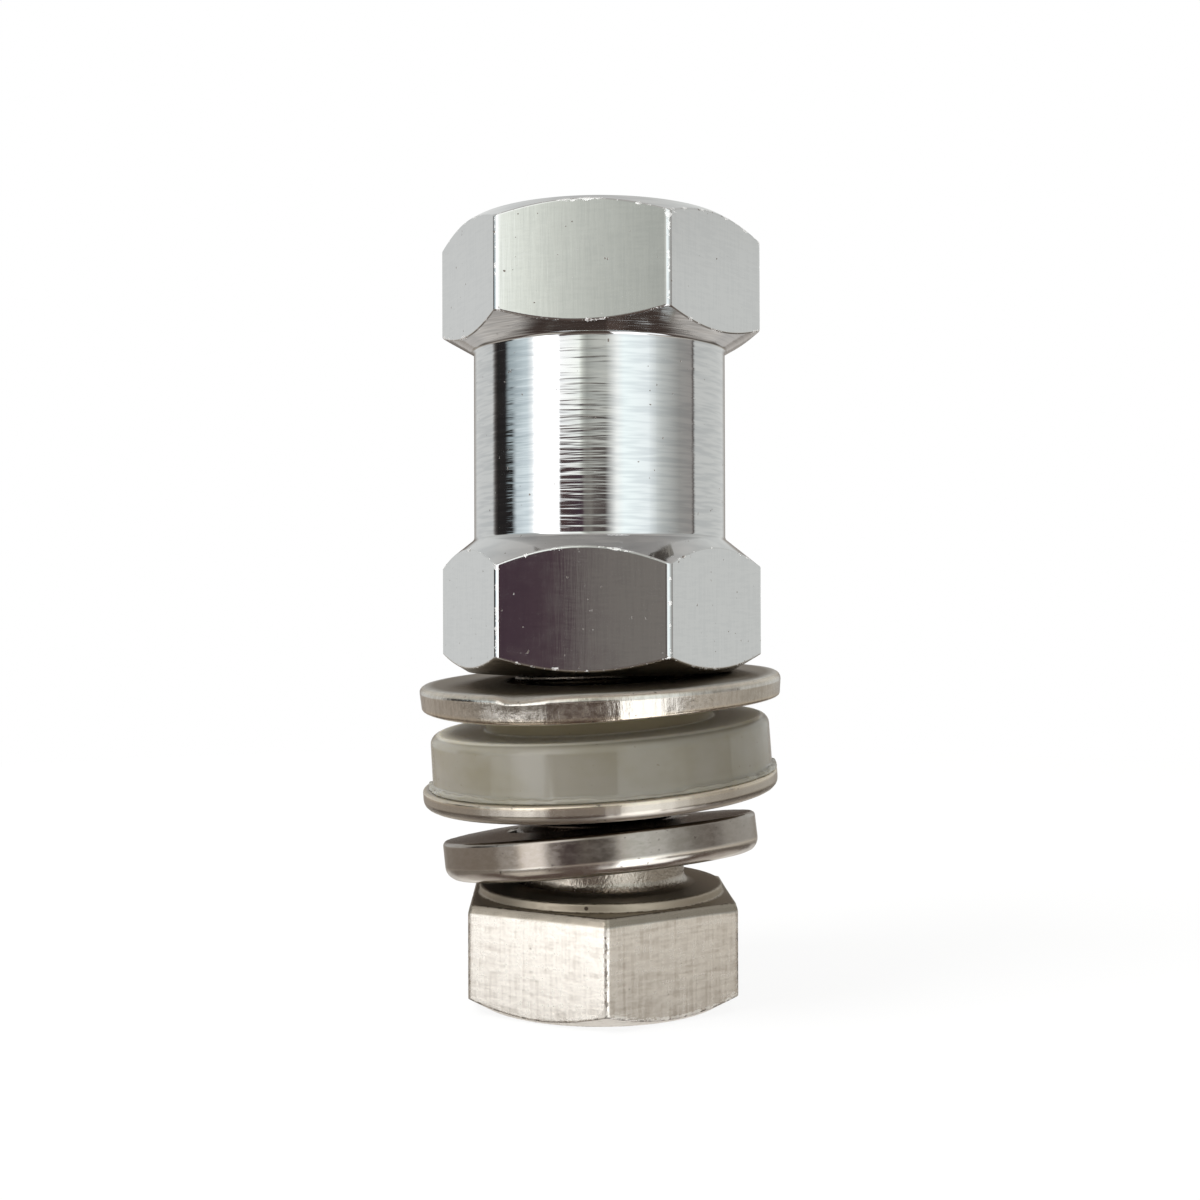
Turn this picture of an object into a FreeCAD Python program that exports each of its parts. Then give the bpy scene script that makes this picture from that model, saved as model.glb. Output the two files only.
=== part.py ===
"""Antenna lug stud: a hex bolt, head down, that holds four washers under a double-hex coupling nut.

The frame has its origin on the thread axis, on the bolt head's lower face, with +Z up along the thread.
Azimuths are in degrees from -Y towards +X. A flat of the coupling nut faces -Y. The washers lie loose
on the shank, each with a lean of its own, so their heights follow from where one meets the next.
Lengths are in millimetres.
"""

import FreeCAD, Part
import math
import os
import re

import Sketcher

SIZES = {
    "shank_radius": (4.42, "pitch radius of the 3/8 inch thread, whose crests stand proud of it"),
    "thread_minor_radius": (4.27, "crests of the internal thread"),
    "shank_clearance": (0.05, "radial, between the shank and the coupling nut's lower bore"),
    "tip_gap": (0.2, "above the shank's end, to the step in the coupling nut's bore"),
    "bolt_across_flats": (14.29, "9/16 inch head"),
    "bolt_head_height": (5.75, "hex alone"),
    "bolt_flat_radius": (6.8, "flat circle on the head's lower face"),
    "bolt_chamfer_angle": (30.0, "degrees from the lower face"),
    "bolt_face_radius": (6.7, "turned bearing face on top of the head"),
    "bolt_face_height": (0.5, "above the hex"),
    "bolt_neck_radius": (4.6, "plain neck between the head and the thread"),
    "bolt_neck_length": (2.2, "above the head"),
    "bolt_neck_bevel": (0.4, "cone from the bearing face to the neck"),
    "bolt_length": (25.4, "one inch under the head"),
    "bolt_tip_chamfer": (0.8, "at the shank's end"),
    "bolt_turn": (38.64, "degrees that the bolt's hex is turned from the coupling nut's"),
    "lock_outer_radius": (8.66, "spring washer"),
    "lock_inner_radius": (5.05, "spring washer"),
    "lock_outer_height": (2.1, "section at the rim"),
    "lock_inner_height": (2.4, "section at the hole"),
    "lock_rim_bevel": (0.35, "section's corners at the rim"),
    "lock_coil_rise": (0.5, "left-hand coil, in one turn"),
    "lock_coil_sweep": (352.0, "degrees of coil, less than a turn by the split"),
    "lock_split_azimuth": (164.0, "middle of the split"),
    "lock_lean": (8.2, "degrees from flat"),
    "lock_raised_azimuth": (57.2, "raised side"),
    "lower_radius": (9.79, "thin flat washer"),
    "lower_thickness": (1.0, "thin flat washer"),
    "lower_hole_radius": (5.15, "thin flat washer"),
    "lower_rim_bevel": (0.25, "thin flat washer"),
    "lip_inset": (0.13, "from the thin washer's rim to the moulding lip above it"),
    "flange_inset": (0.39, "from the thin washer's rim to the foot of the insulator's flange"),
    "lip_height": (0.3, "thin moulding lip round the insulator's lower face"),
    "insulator_draft": (1.0, "degrees, on the flange's side"),
    "insulator_flange": (2.95, "flange thickness"),
    "insulator_rim_bevel": (0.4, "upper corner of the flange"),
    "insulator_hole_radius": (5.2, "clear of the thread at the insulator's lean"),
    "boss_radius": (6.3, "shoulder that centres a bracket's half-inch hole"),
    "boss_height": (0.9, "above the flange"),
    "boss_chamfer": (0.2, "lead into the bracket's hole"),
    "insulator_lean": (4.17, "degrees from flat, shared with the thin washer under it"),
    "insulator_raised_azimuth": (127.0, "raised side"),
    "upper_radius": (10.0, "thick flat washer, at its upper edge"),
    "upper_draft": (5.0, "degrees, sheared side that narrows downwards"),
    "upper_thickness": (1.28, "thick flat washer"),
    "upper_hole_radius": (5.2, "thick flat washer"),
    "upper_rim_bevel": (0.15, "upper edge"),
    "upper_lean": (3.25, "degrees from flat"),
    "upper_raised_azimuth": (141.7, "raised side"),
    "coupling_across_flats": (15.5, "both hexes"),
    "coupling_length": (24.5, "end to end"),
    "coupling_corner_round": (0.3, "plated hex corners"),
    "coupling_end_radius": (7.3, "flat circle on each end"),
    "coupling_end_angle": (31.0, "degrees, chamfer of each end's corners"),
    "waist_radius": (6.95, "turned waist between the hexes"),
    "lower_hex_length": (7.27, "up to the waist"),
    "upper_hex_length": (6.9, "down to the waist"),
    "lower_shoulder_angle": (38.7, "degrees, cone from the waist to the lower hex"),
    "upper_shoulder_angle": (29.5, "degrees, cone from the waist to the upper hex"),
    "countersink": (0.55, "at both mouths of the coupling nut's thread"),
    "seat_gap": (0.03, "between pieces that bear on each other"),
    "thread_hang": (0.55, "the thin washer hangs on the thread this far clear of the lock washer"),
}
CUT_REACH = 3.0
TOUCH = 1e-4


def word_to_cell(words):
    """Turn each <alias> in an expression into its cell on the sheet."""
    return re.sub(r"<(\w+)>", r"Sizes.\1", words)


def bind(item, path, words):
    """Bind a property to an expression in <alias> words."""
    item.setExpression(path, word_to_cell(words))


def evaluate(item, words):
    """Give the present value of an expression in <alias> words."""
    return float(item.evalExpression(word_to_cell(words)))


def slope(lean, azimuth):
    """Give the rise in Z of a leaning plane for each millimetre along X and along Y."""
    steepness = math.tan(math.radians(lean))
    return steepness * math.sin(math.radians(azimuth)), -steepness * math.cos(math.radians(azimuth))


def standing_height(half_height, lean):
    """Give half of a leaning piece's height where it is cut by the thread axis."""
    return half_height / math.cos(math.radians(lean))


def stack_heights(size):
    """Work out where the middle of each piece stands on the thread axis, from the head upwards."""
    face = size["bolt_head_height"] + size["bolt_face_height"]
    lock_slope = slope(size["lock_lean"], size["lock_raised_azimuth"])
    insulator_slope = slope(size["insulator_lean"], size["insulator_raised_azimuth"])
    upper_slope = slope(size["upper_lean"], size["upper_raised_azimuth"])
    flat = (0.0, 0.0)

    coil_lift = size["lock_coil_rise"] * (size["lock_split_azimuth"] - size["lock_raised_azimuth"]) / 360
    lock = face + size["seat_gap"] + standing_height(size["lock_inner_height"] / 2, size["lock_lean"])
    lock += size["bolt_face_radius"] * math.dist(lock_slope, flat) - coil_lift

    lower = lock + standing_height(size["lock_outer_height"] / 2, size["lock_lean"])
    lower += size["lock_outer_radius"] * math.dist(lock_slope, insulator_slope) + size["thread_hang"]
    lower_half = standing_height(size["lower_thickness"] / 2, size["insulator_lean"])
    lower += lower_half

    insulator_height = size["insulator_flange"] + size["boss_height"]
    insulator_half = standing_height(insulator_height / 2, size["insulator_lean"])
    insulator = lower + lower_half + insulator_half

    upper_half = standing_height(size["upper_thickness"] / 2, size["upper_lean"])
    upper = insulator + insulator_half + size["seat_gap"] + upper_half
    upper += size["boss_radius"] * math.dist(insulator_slope, upper_slope)

    coupling = upper + upper_half + size["seat_gap"]
    coupling += size["coupling_end_radius"] * math.dist(upper_slope, flat)
    tip = face + size["bolt_length"]
    return {
        "lock_middle": lock,
        "lower_middle": lower,
        "insulator_middle": insulator,
        "upper_middle": upper,
        "coupling_base": coupling,
        "bore_step": tip + size["tip_gap"] - coupling,
    }


def make_sheet(doc):
    """Put the driving sizes into a spreadsheet, and under them the heights that follow from them."""
    sheet = doc.addObject("Spreadsheet::Sheet", "Sizes")
    values = {alias: value for alias, (value, note) in SIZES.items()}
    notes = {alias: note for alias, (value, note) in SIZES.items()}
    for alias, height in stack_heights(values).items():
        values[alias] = round(height, 6)
        notes[alias] = "follows from the sizes above"
    for row, (alias, value) in enumerate(values.items(), start=1):
        sheet.set(f"A{row}", alias)
        sheet.set(f"B{row}", str(value))
        sheet.set(f"C{row}", notes[alias])
        sheet.setAlias(f"B{row}", alias)
    doc.recompute()
    return sheet


def add_sketch(body, name, role):
    """Add an empty sketch on one of the body's own origin planes."""
    sketch = body.newObject("Sketcher::SketchObject", name)
    plane = next(item for item in body.Origin.OriginFeatures if item.Role == role)
    sketch.AttachmentSupport = (plane, [""])
    sketch.MapMode = "FlatFace"
    return sketch


def add_outline(sketch, corners):
    """Add a closed outline of straight lines. Each corner is its two places, across and up, in words."""
    values = [(evaluate(sketch, across), evaluate(sketch, up)) for across, up in corners]
    points = [FreeCAD.Vector(across, up, 0) for across, up in values]
    count = len(points)
    for index in range(count):
        sketch.addGeometry(Part.LineSegment(points[index], points[(index + 1) % count]), False)
    for index in range(count):
        sketch.addConstraint(Sketcher.Constraint("Coincident", index, 2, (index + 1) % count, 1))
    for index in range(count):
        for side, (kind, axis) in enumerate((("DistanceX", -2), ("DistanceY", -1))):
            words = corners[index][side]
            if words == "0":
                sketch.addConstraint(Sketcher.Constraint("PointOnObject", index, 1, axis))
            else:
                place = Sketcher.Constraint(kind, -1, 1, index, 1, values[index][side])
                number = sketch.addConstraint(place)
                bind(sketch, f"Constraints[{number}]", words)


def add_hexagon(sketch, across_flats):
    """Add a regular hexagon round the origin, with two corners on the X axis."""
    words = f"<{across_flats}> / (2 * cos(30))"
    radius = evaluate(sketch, words)
    turns = [math.radians(60 * turn) for turn in range(6)]
    corners = [FreeCAD.Vector(radius * math.cos(turn), radius * math.sin(turn), 0) for turn in turns]
    for side in range(6):
        sketch.addGeometry(Part.LineSegment(corners[side], corners[(side + 1) % 6]), False)
    circle = sketch.addGeometry(Part.Circle(FreeCAD.Vector(), FreeCAD.Vector(0, 0, 1), radius), True)
    sketch.addConstraint(Sketcher.Constraint("Coincident", circle, 3, -1, 1))
    number = sketch.addConstraint(Sketcher.Constraint("Radius", circle, radius))
    bind(sketch, f"Constraints[{number}]", words)
    for side in range(6):
        sketch.addConstraint(Sketcher.Constraint("Coincident", side, 2, (side + 1) % 6, 1))
        sketch.addConstraint(Sketcher.Constraint("PointOnObject", side, 1, circle))
    for side in range(1, 5):
        sketch.addConstraint(Sketcher.Constraint("Equal", 0, side))
    sketch.addConstraint(Sketcher.Constraint("PointOnObject", 0, 1, -1))


def settle(doc, body, feature, removes=False):
    """Recompute after a feature and make sure that it added or removed material as meant."""
    before = feature.BaseFeature.Shape.Volume if feature.BaseFeature else 0.0
    body.Tip = feature
    doc.recompute()
    change = feature.Shape.Volume - before
    if change == 0 or (change < 0) != removes:
        raise RuntimeError(f"{feature.Name} changed its body's volume by {change:.4f}")


def revolve(doc, body, name, corners, removes=False):
    """Turn an outline right round the Z axis, to add or to remove material."""
    sketch = add_sketch(body, f"{name}Outline", "XZ_Plane")
    add_outline(sketch, corners)
    kind = "PartDesign::Groove" if removes else "PartDesign::Revolution"
    feature = body.newObject(kind, name)
    feature.Profile = sketch
    feature.ReferenceAxis = (sketch, ["V_Axis"])
    feature.Angle = 360
    settle(doc, body, feature, removes)


def pad_hexagon(doc, body, name, across_flats, length):
    """Pad a hexagon upwards from the body's XY plane."""
    sketch = add_sketch(body, f"{name}Outline", "XY_Plane")
    add_hexagon(sketch, across_flats)
    feature = body.newObject("PartDesign::Pad", name)
    feature.Profile = sketch
    bind(feature, "Length", f"<{length}>")
    settle(doc, body, feature)


def ring_edges(shape, radius, height):
    """Name the round edges about the Z axis that have this radius and height."""
    names = []
    for number, edge in enumerate(shape.Edges, start=1):
        if isinstance(edge.Curve, Part.Circle):
            centre = edge.Curve.Center
            miss = max(math.hypot(centre.x, centre.y), abs(centre.z - height))
            if max(miss, abs(edge.Curve.Radius - radius)) < TOUCH:
                names.append(f"Edge{number}")
    return names


def upright_edges(shape):
    """Name the straight edges that run along Z."""
    names = []
    for number, edge in enumerate(shape.Edges, start=1):
        first, last = edge.Vertexes[0].Point, edge.Vertexes[-1].Point
        if math.hypot(first.x - last.x, first.y - last.y) < TOUCH:
            names.append(f"Edge{number}")
    return names


def dress_edges(doc, body, kind, name, edges, alias):
    """Fillet or chamfer edges of the body's last feature by a named size."""
    base = body.Tip
    feature = body.newObject(f"PartDesign::{kind}", name)
    feature.Base = (base, edges)
    bind(feature, "Radius" if kind == "Fillet" else "Size", f"<{alias}>")
    settle(doc, body, feature, removes=True)


def place(body, sheet, height, lean, azimuth, turn=0.0):
    """Lean a piece about the point where the thread axis crosses its middle, and lift it there."""
    raised = math.radians(sheet.get(azimuth))
    hinge = FreeCAD.Vector(-math.cos(raised), -math.sin(raised), 0)
    upright = FreeCAD.Rotation(FreeCAD.Vector(0, 0, 1), turn)
    rotation = FreeCAD.Rotation(hinge, sheet.get(lean)).multiply(upright)
    body.Placement = FreeCAD.Placement(FreeCAD.Vector(0, 0, sheet.get(height)), rotation)
    bind(body, "Placement.Base.z", f"<{height}>")


def make_hex_bolt(doc, sheet):
    """Hex cap screw, head down: chamfered hex, turned bearing face, neck and shank."""
    body = doc.addObject("PartDesign::Body", "hex_bolt")
    pad_hexagon(doc, body, "HeadHex", "bolt_across_flats", "bolt_head_height")
    reach = f"<bolt_flat_radius> + {CUT_REACH}"
    revolve(doc, body, "HeadChamfer", [
        ("<bolt_flat_radius>", "0"),
        (reach, "0"),
        (reach, f"{CUT_REACH} * tan(<bolt_chamfer_angle>)"),
    ], removes=True)
    face = "<bolt_head_height> + <bolt_face_height>"
    revolve(doc, body, "FaceAndShank", [
        ("0", "<bolt_head_height>"),
        ("<bolt_face_radius>", "<bolt_head_height>"),
        ("<bolt_face_radius>", face),
        ("<bolt_neck_radius> + <bolt_neck_bevel>", face),
        ("<bolt_neck_radius>", f"{face} + <bolt_neck_bevel>"),
        ("<bolt_neck_radius>", f"{face} + <bolt_neck_length>"),
        ("<shank_radius>", f"{face} + <bolt_neck_length> + <bolt_neck_radius> - <shank_radius>"),
        ("<shank_radius>", f"{face} + <bolt_length> - <bolt_tip_chamfer>"),
        ("<shank_radius> - <bolt_tip_chamfer>", f"{face} + <bolt_length>"),
        ("0", f"{face} + <bolt_length>"),
    ])
    bind(body, "Placement.Rotation.Angle", "<bolt_turn>")
    return body


def make_lock_washer(doc, sheet):
    """Spring lock washer: a wedge section, coiled left-handed through a little less than a turn."""
    body = doc.addObject("PartDesign::Body", "lock_washer")
    climb = "<lock_coil_rise> * <lock_coil_sweep> / 360"
    start = f"{climb} / 2"
    sketch = add_sketch(body, "SectionOutline", "XZ_Plane")
    rim = "<lock_outer_height> / 2"
    hole = "<lock_inner_height> / 2"
    add_outline(sketch, [
        ("<lock_inner_radius>", f"-{hole} - {start}"),
        ("<lock_outer_radius> - <lock_rim_bevel>", f"-{rim} - {start}"),
        ("<lock_outer_radius>", f"<lock_rim_bevel> - {rim} - {start}"),
        ("<lock_outer_radius>", f"{rim} - <lock_rim_bevel> - {start}"),
        ("<lock_outer_radius> - <lock_rim_bevel>", f"{rim} - {start}"),
        ("<lock_inner_radius>", f"{hole} - {start}"),
    ])
    coil = body.newObject("PartDesign::AdditiveHelix", "Coil")
    coil.Profile = sketch
    coil.ReferenceAxis = (sketch, ["V_Axis"])
    coil.Mode = "pitch-height-angle"
    coil.LeftHanded = True
    bind(coil, "Pitch", "<lock_coil_rise>")
    bind(coil, "Height", climb)
    settle(doc, body, coil)
    coil_start = sheet.lock_split_azimuth - 90 - (360 - sheet.lock_coil_sweep) / 2
    place(body, sheet, "lock_middle", "lock_lean", "lock_raised_azimuth", coil_start)
    return body


def make_lower_washer(doc, sheet):
    """Thin flat washer with both edges of its rim broken."""
    body = doc.addObject("PartDesign::Body", "lower_washer")
    revolve(doc, body, "Ring", [
        ("<lower_hole_radius>", "-<lower_thickness> / 2"),
        ("<lower_radius>", "-<lower_thickness> / 2"),
        ("<lower_radius>", "<lower_thickness> / 2"),
        ("<lower_hole_radius>", "<lower_thickness> / 2"),
    ])
    half = sheet.lower_thickness / 2
    rim = [name for height in (-half, half) for name in ring_edges(body.Shape, sheet.lower_radius, height)]
    dress_edges(doc, body, "Chamfer", "RimBevel", rim, "lower_rim_bevel")
    place(body, sheet, "lower_middle", "insulator_lean", "insulator_raised_azimuth")
    return body


def make_insulator(doc, sheet):
    """Moulded shoulder washer: drafted flange with a thin lip, and a boss that centres a bracket."""
    body = doc.addObject("PartDesign::Body", "insulator")
    half = "(<insulator_flange> + <boss_height>) / 2"
    drawn_in = "tan(<insulator_draft>)"
    flange_top = f"<insulator_flange> - {half}"
    foot_radius = "<lower_radius> - <flange_inset>"
    top_radius = f"{foot_radius} - <insulator_flange> * {drawn_in}"
    lip_radius = "<lower_radius> - <lip_inset>"
    lip_top = f"<lip_height> - {half}"
    revolve(doc, body, "FlangeAndBoss", [
        ("<insulator_hole_radius>", f"-{half}"),
        (lip_radius, f"-{half}"),
        (lip_radius, lip_top),
        (f"{foot_radius} - <lip_height> * {drawn_in}", lip_top),
        (top_radius, flange_top),
        ("<boss_radius>", flange_top),
        ("<boss_radius>", half),
        ("<insulator_hole_radius>", half),
    ])
    rim = ring_edges(body.Shape, evaluate(sheet, top_radius), evaluate(sheet, flange_top))
    dress_edges(doc, body, "Chamfer", "RimBevel", rim, "insulator_rim_bevel")
    boss = ring_edges(body.Shape, sheet.boss_radius, evaluate(sheet, half))
    dress_edges(doc, body, "Chamfer", "BossChamfer", boss, "boss_chamfer")
    place(body, sheet, "insulator_middle", "insulator_lean", "insulator_raised_azimuth")
    return body


def make_upper_washer(doc, sheet):
    """Thick stamped washer: broken upper edge and a sheared side that narrows downwards."""
    body = doc.addObject("PartDesign::Body", "upper_washer")
    revolve(doc, body, "Ring", [
        ("<upper_hole_radius>", "-<upper_thickness> / 2"),
        ("<upper_radius> - <upper_thickness> * tan(<upper_draft>)", "-<upper_thickness> / 2"),
        ("<upper_radius>", "<upper_thickness> / 2"),
        ("<upper_hole_radius>", "<upper_thickness> / 2"),
    ])
    rim = ring_edges(body.Shape, sheet.upper_radius, sheet.upper_thickness / 2)
    dress_edges(doc, body, "Chamfer", "RimBevel", rim, "upper_rim_bevel")
    place(body, sheet, "upper_middle", "upper_lean", "upper_raised_azimuth")
    return body


def make_coupling_nut(doc, sheet):
    """Double-hex coupling nut: hex bar with chamfered ends, a turned waist and a bore right through."""
    body = doc.addObject("PartDesign::Body", "coupling_nut")
    pad_hexagon(doc, body, "HexBar", "coupling_across_flats", "coupling_length")
    corners = upright_edges(body.Shape)
    dress_edges(doc, body, "Fillet", "CornerRound", corners, "coupling_corner_round")
    reach = f"<coupling_end_radius> + {CUT_REACH}"
    drop = f"{CUT_REACH} * tan(<coupling_end_angle>)"
    revolve(doc, body, "LowerEndChamfer", [
        ("<coupling_end_radius>", "0"),
        (reach, "0"),
        (reach, drop),
    ], removes=True)
    revolve(doc, body, "UpperEndChamfer", [
        ("<coupling_end_radius>", "<coupling_length>"),
        (reach, f"<coupling_length> - {drop}"),
        (reach, "<coupling_length>"),
    ], removes=True)
    waist_reach = f"<waist_radius> + {CUT_REACH}"
    waist_top = "<coupling_length> - <upper_hex_length>"
    revolve(doc, body, "Waist", [
        ("<waist_radius>", "<lower_hex_length>"),
        (waist_reach, f"<lower_hex_length> - {CUT_REACH} * tan(<lower_shoulder_angle>)"),
        (waist_reach, f"{waist_top} + {CUT_REACH} * tan(<upper_shoulder_angle>)"),
        ("<waist_radius>", waist_top),
    ], removes=True)
    shank_bore = "<shank_radius> + <shank_clearance>"
    revolve(doc, body, "Bore", [
        ("0", "0"),
        (f"{shank_bore} + <countersink>", "0"),
        (shank_bore, "<countersink>"),
        (shank_bore, "<bore_step>"),
        ("<thread_minor_radius>", "<bore_step>"),
        ("<thread_minor_radius>", "<coupling_length> - <countersink>"),
        ("<thread_minor_radius> + <countersink>", "<coupling_length>"),
        ("0", "<coupling_length>"),
    ], removes=True)
    bind(body, "Placement.Base.z", "<coupling_base>")
    return body


def main():
    """Build the document, test every object in it, and write one file for each piece."""
    doc = FreeCAD.newDocument("LugStud")
    sheet = make_sheet(doc)
    makers = (
        make_hex_bolt,
        make_lock_washer,
        make_lower_washer,
        make_insulator,
        make_upper_washer,
        make_coupling_nut,
    )
    pieces = [maker(doc, sheet) for maker in makers]
    doc.recompute()
    for item in doc.Objects:
        if "Invalid" in item.State or "Error" in item.State:
            raise RuntimeError(f"{item.Label} did not build")
    for piece in pieces:
        if piece.Shape.isNull() or not piece.Shape.isValid() or len(piece.Shape.Solids) != 1:
            raise RuntimeError(f"{piece.Label} is not one sound solid")
    os.makedirs("parts", exist_ok=True)
    for piece in pieces:
        piece.Shape.exportStep(f"parts/{piece.Label}.step")
        print(f"{piece.Label}: {piece.Shape.Volume:.2f} mm3")


main()
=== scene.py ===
"""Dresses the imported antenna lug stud, a stack of six pieces on one thread axis.

Each piece is a surface worked out with numpy in millimetres and put into Blender in metres, in the
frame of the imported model: origin on the thread axis at the bolt head's lower face, +Z up. Azimuths are
in degrees from -Y towards +X. The washers lie loose, each with the lean that it has in the photograph.
"""

import logging
import math
from dataclasses import dataclass
from enum import Enum
from typing import Any, Sequence

import bmesh
import bpy
import numpy as np
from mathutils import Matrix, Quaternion, Vector


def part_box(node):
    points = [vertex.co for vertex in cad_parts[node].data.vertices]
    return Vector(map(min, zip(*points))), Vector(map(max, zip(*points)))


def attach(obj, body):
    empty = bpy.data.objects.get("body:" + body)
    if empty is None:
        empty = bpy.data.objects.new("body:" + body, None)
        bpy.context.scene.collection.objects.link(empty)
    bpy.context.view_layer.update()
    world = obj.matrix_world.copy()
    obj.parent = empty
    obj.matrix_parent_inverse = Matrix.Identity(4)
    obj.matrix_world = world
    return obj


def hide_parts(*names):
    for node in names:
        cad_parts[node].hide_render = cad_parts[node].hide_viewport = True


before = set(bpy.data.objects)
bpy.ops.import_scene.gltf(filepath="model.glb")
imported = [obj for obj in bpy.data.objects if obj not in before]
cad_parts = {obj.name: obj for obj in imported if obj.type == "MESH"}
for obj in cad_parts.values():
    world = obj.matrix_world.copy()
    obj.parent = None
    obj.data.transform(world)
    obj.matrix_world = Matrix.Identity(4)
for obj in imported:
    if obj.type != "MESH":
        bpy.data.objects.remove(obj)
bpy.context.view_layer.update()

MM = 0.001
FULL_TURN = 2 * math.pi
THREAD_PITCH = 25.4 / 24
# How far an edge's smooth shading may spread over the flat beside it, in millimetres.
GUARD = 0.04
LOG = logging.getLogger("lug_stud")


class Body(Enum):
    """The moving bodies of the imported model."""

    BOLT = "bolt"
    WASHERS = "washer_stack"
    COUPLER = "coupler"


class Mark(Enum):
    """Float attributes that a mesh carries for its material."""

    EDGE = "edge_wear"
    TURNED = "turned_skin"
    SIDE = "sheared_side"


def linear(hex_colour: str) -> tuple[float, float, float, float]:
    """Turn an sRGB hex colour such as "#C0C4C8" into linear red, green, blue and full alpha.

    Args:
        hex_colour: the colour as it is seen on a screen.

    Returns:
        The linear colour that a shader socket takes.
    """
    parts = [int(hex_colour[place:place + 2], 16) / 255 for place in (1, 3, 5)]
    red, green, blue = (
        part / 12.92 if part <= 0.04045 else ((part + 0.055) / 1.055) ** 2.4 for part in parts
    )
    return red, green, blue, 1.0


def corner_half_angle(half: float, corner_round: float) -> float:
    """Polar angle from a hexagon's corner to where its rounding starts.

    Args:
        half: half the width across flats.
        corner_round: radius of the rounded corners.

    Returns:
        The angle in radians.
    """
    return math.pi / 6 - math.atan((half - corner_round) * math.tan(math.pi / 6) / half)


def hex_radius(angle: np.ndarray, across_flats: float, corner_round: float, corner: float) -> np.ndarray:
    """Distance from the axis to a hexagon with rounded corners.

    On a flat it is the half width over the cosine of the angle from the flat's middle. Past the point
    where the rounding starts, it is the far crossing of the ray with the corner's small circle.

    Args:
        angle: polar angles in radians.
        across_flats: width across two flats.
        corner_round: radius of the rounded corners.
        corner: polar angle of one corner in radians.

    Returns:
        One radius for each angle.
    """
    half = across_flats / 2
    from_corner = np.mod(angle - corner + math.pi / 6, math.pi / 3) - math.pi / 6
    flat = half / np.cos(math.pi / 6 - np.abs(from_corner))
    centre = (half - corner_round) / math.cos(math.pi / 6)
    root = np.maximum(corner_round**2 - (centre * np.sin(from_corner)) ** 2, 0)
    rounded = centre * np.cos(from_corner) + np.sqrt(root)
    start = corner_half_angle(half, corner_round)
    return np.where(np.abs(from_corner) < start, rounded, flat)


def hex_angles(across_flats: float, corner_round: float, corner: float) -> np.ndarray:
    """Polar angles round a hexagon, close together at its corners and even along its flats.

    Args:
        across_flats: width across two flats.
        corner_round: radius of the rounded corners.
        corner: polar angle of one corner in radians.

    Returns:
        Rising angles over one full turn, with the first one a turn back as the last.
    """
    half = across_flats / 2
    start = corner_half_angle(half, corner_round)
    arc = np.linspace(-start, start, 9)
    guarded = math.tan(math.pi / 6 - start) - GUARD / half
    flat = math.pi / 6 - np.arctan(np.linspace(guarded, -guarded, 24))
    sector = np.concatenate([arc, flat])
    turns = np.arange(6)[:, None] * math.pi / 3
    angles = corner + (turns + sector[None, :]).ravel()
    return np.append(angles, angles[0] + FULL_TURN)


def rounded_outline(corners: np.ndarray, radii: Sequence[float], steps: int = 4) -> np.ndarray:
    """Round the inner corners of many polylines at once with arcs.

    Each corner gives way to an arc that touches both of its sides at an equal distance, the radius over
    the tangent of half the corner's angle, held to 0.45 of the shorter side.

    Args:
        corners: points as (line, corner, 2).
        radii: one radius for each corner, where the first and last are not rounded.
        steps: segments in each arc.

    Returns:
        Points as (line, point, 2).
    """
    pieces = [corners[:, :1]]
    for place in range(1, corners.shape[1] - 1):
        point = corners[:, place]
        back = corners[:, place - 1] - point
        ahead = corners[:, place + 1] - point
        back_length = np.linalg.norm(back, axis=1, keepdims=True)
        ahead_length = np.linalg.norm(ahead, axis=1, keepdims=True)
        back, ahead = back / back_length, ahead / ahead_length
        half = np.arccos(np.clip((back * ahead).sum(1, keepdims=True), -1, 1)) / 2
        reach = np.minimum(radii[place] / np.tan(half), 0.45 * np.minimum(back_length, ahead_length))
        middle = back + ahead
        middle = middle / np.maximum(np.linalg.norm(middle, axis=1, keepdims=True), 1e-12)
        centre = point + middle * reach / np.cos(half)
        first, last = point + back * reach - centre, point + ahead * reach - centre
        opening = math.pi - 2 * half
        for step in range(steps + 1):
            share = step / steps
            blend = np.sin((1 - share) * opening) * first + np.sin(share * opening) * last
            pieces.append((centre + blend / np.sin(opening))[:, None])
    pieces.append(corners[:, -1:])
    return np.concatenate(pieces, axis=1)


def corner_lines(count: int, corners: Sequence[tuple[Any, Any]]) -> np.ndarray:
    """Lay out the corners of a section that changes with the angle.

    Args:
        count: number of angles.
        corners: pairs of radius and height, each one number or one for each angle.

    Returns:
        Points as (line, corner, 2).
    """
    spread = [[np.broadcast_to(value, count) for value in corner] for corner in corners]
    return np.moveaxis(np.array(spread), 2, 0)


def subdivided(outline: np.ndarray, longest: float) -> np.ndarray:
    """Split the long sides of many polylines evenly, the same way on each.

    A side that is split also gets a point close to each end, so that the shading of the rounding
    beyond doesn't spread over it.

    Args:
        outline: points as (line, point, 2).
        longest: longest side that is left whole, in millimetres.

    Returns:
        Points as (line, point, 2).
    """
    pieces = []
    for place in range(outline.shape[1] - 1):
        start, end = outline[:, place], outline[:, place + 1]
        length = np.linalg.norm(end - start, axis=1).max()
        count = max(1, math.ceil(length / longest))
        guard = GUARD / length if count > 1 else 0.0
        shares = np.unique(np.append(np.arange(count) / count, [guard, 1 - guard] if guard else []))
        pieces.append(start[:, None] + (end - start)[:, None] * shares[None, :, None])
    pieces.append(outline[:, -1:])
    return np.concatenate(pieces, axis=1)


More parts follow.
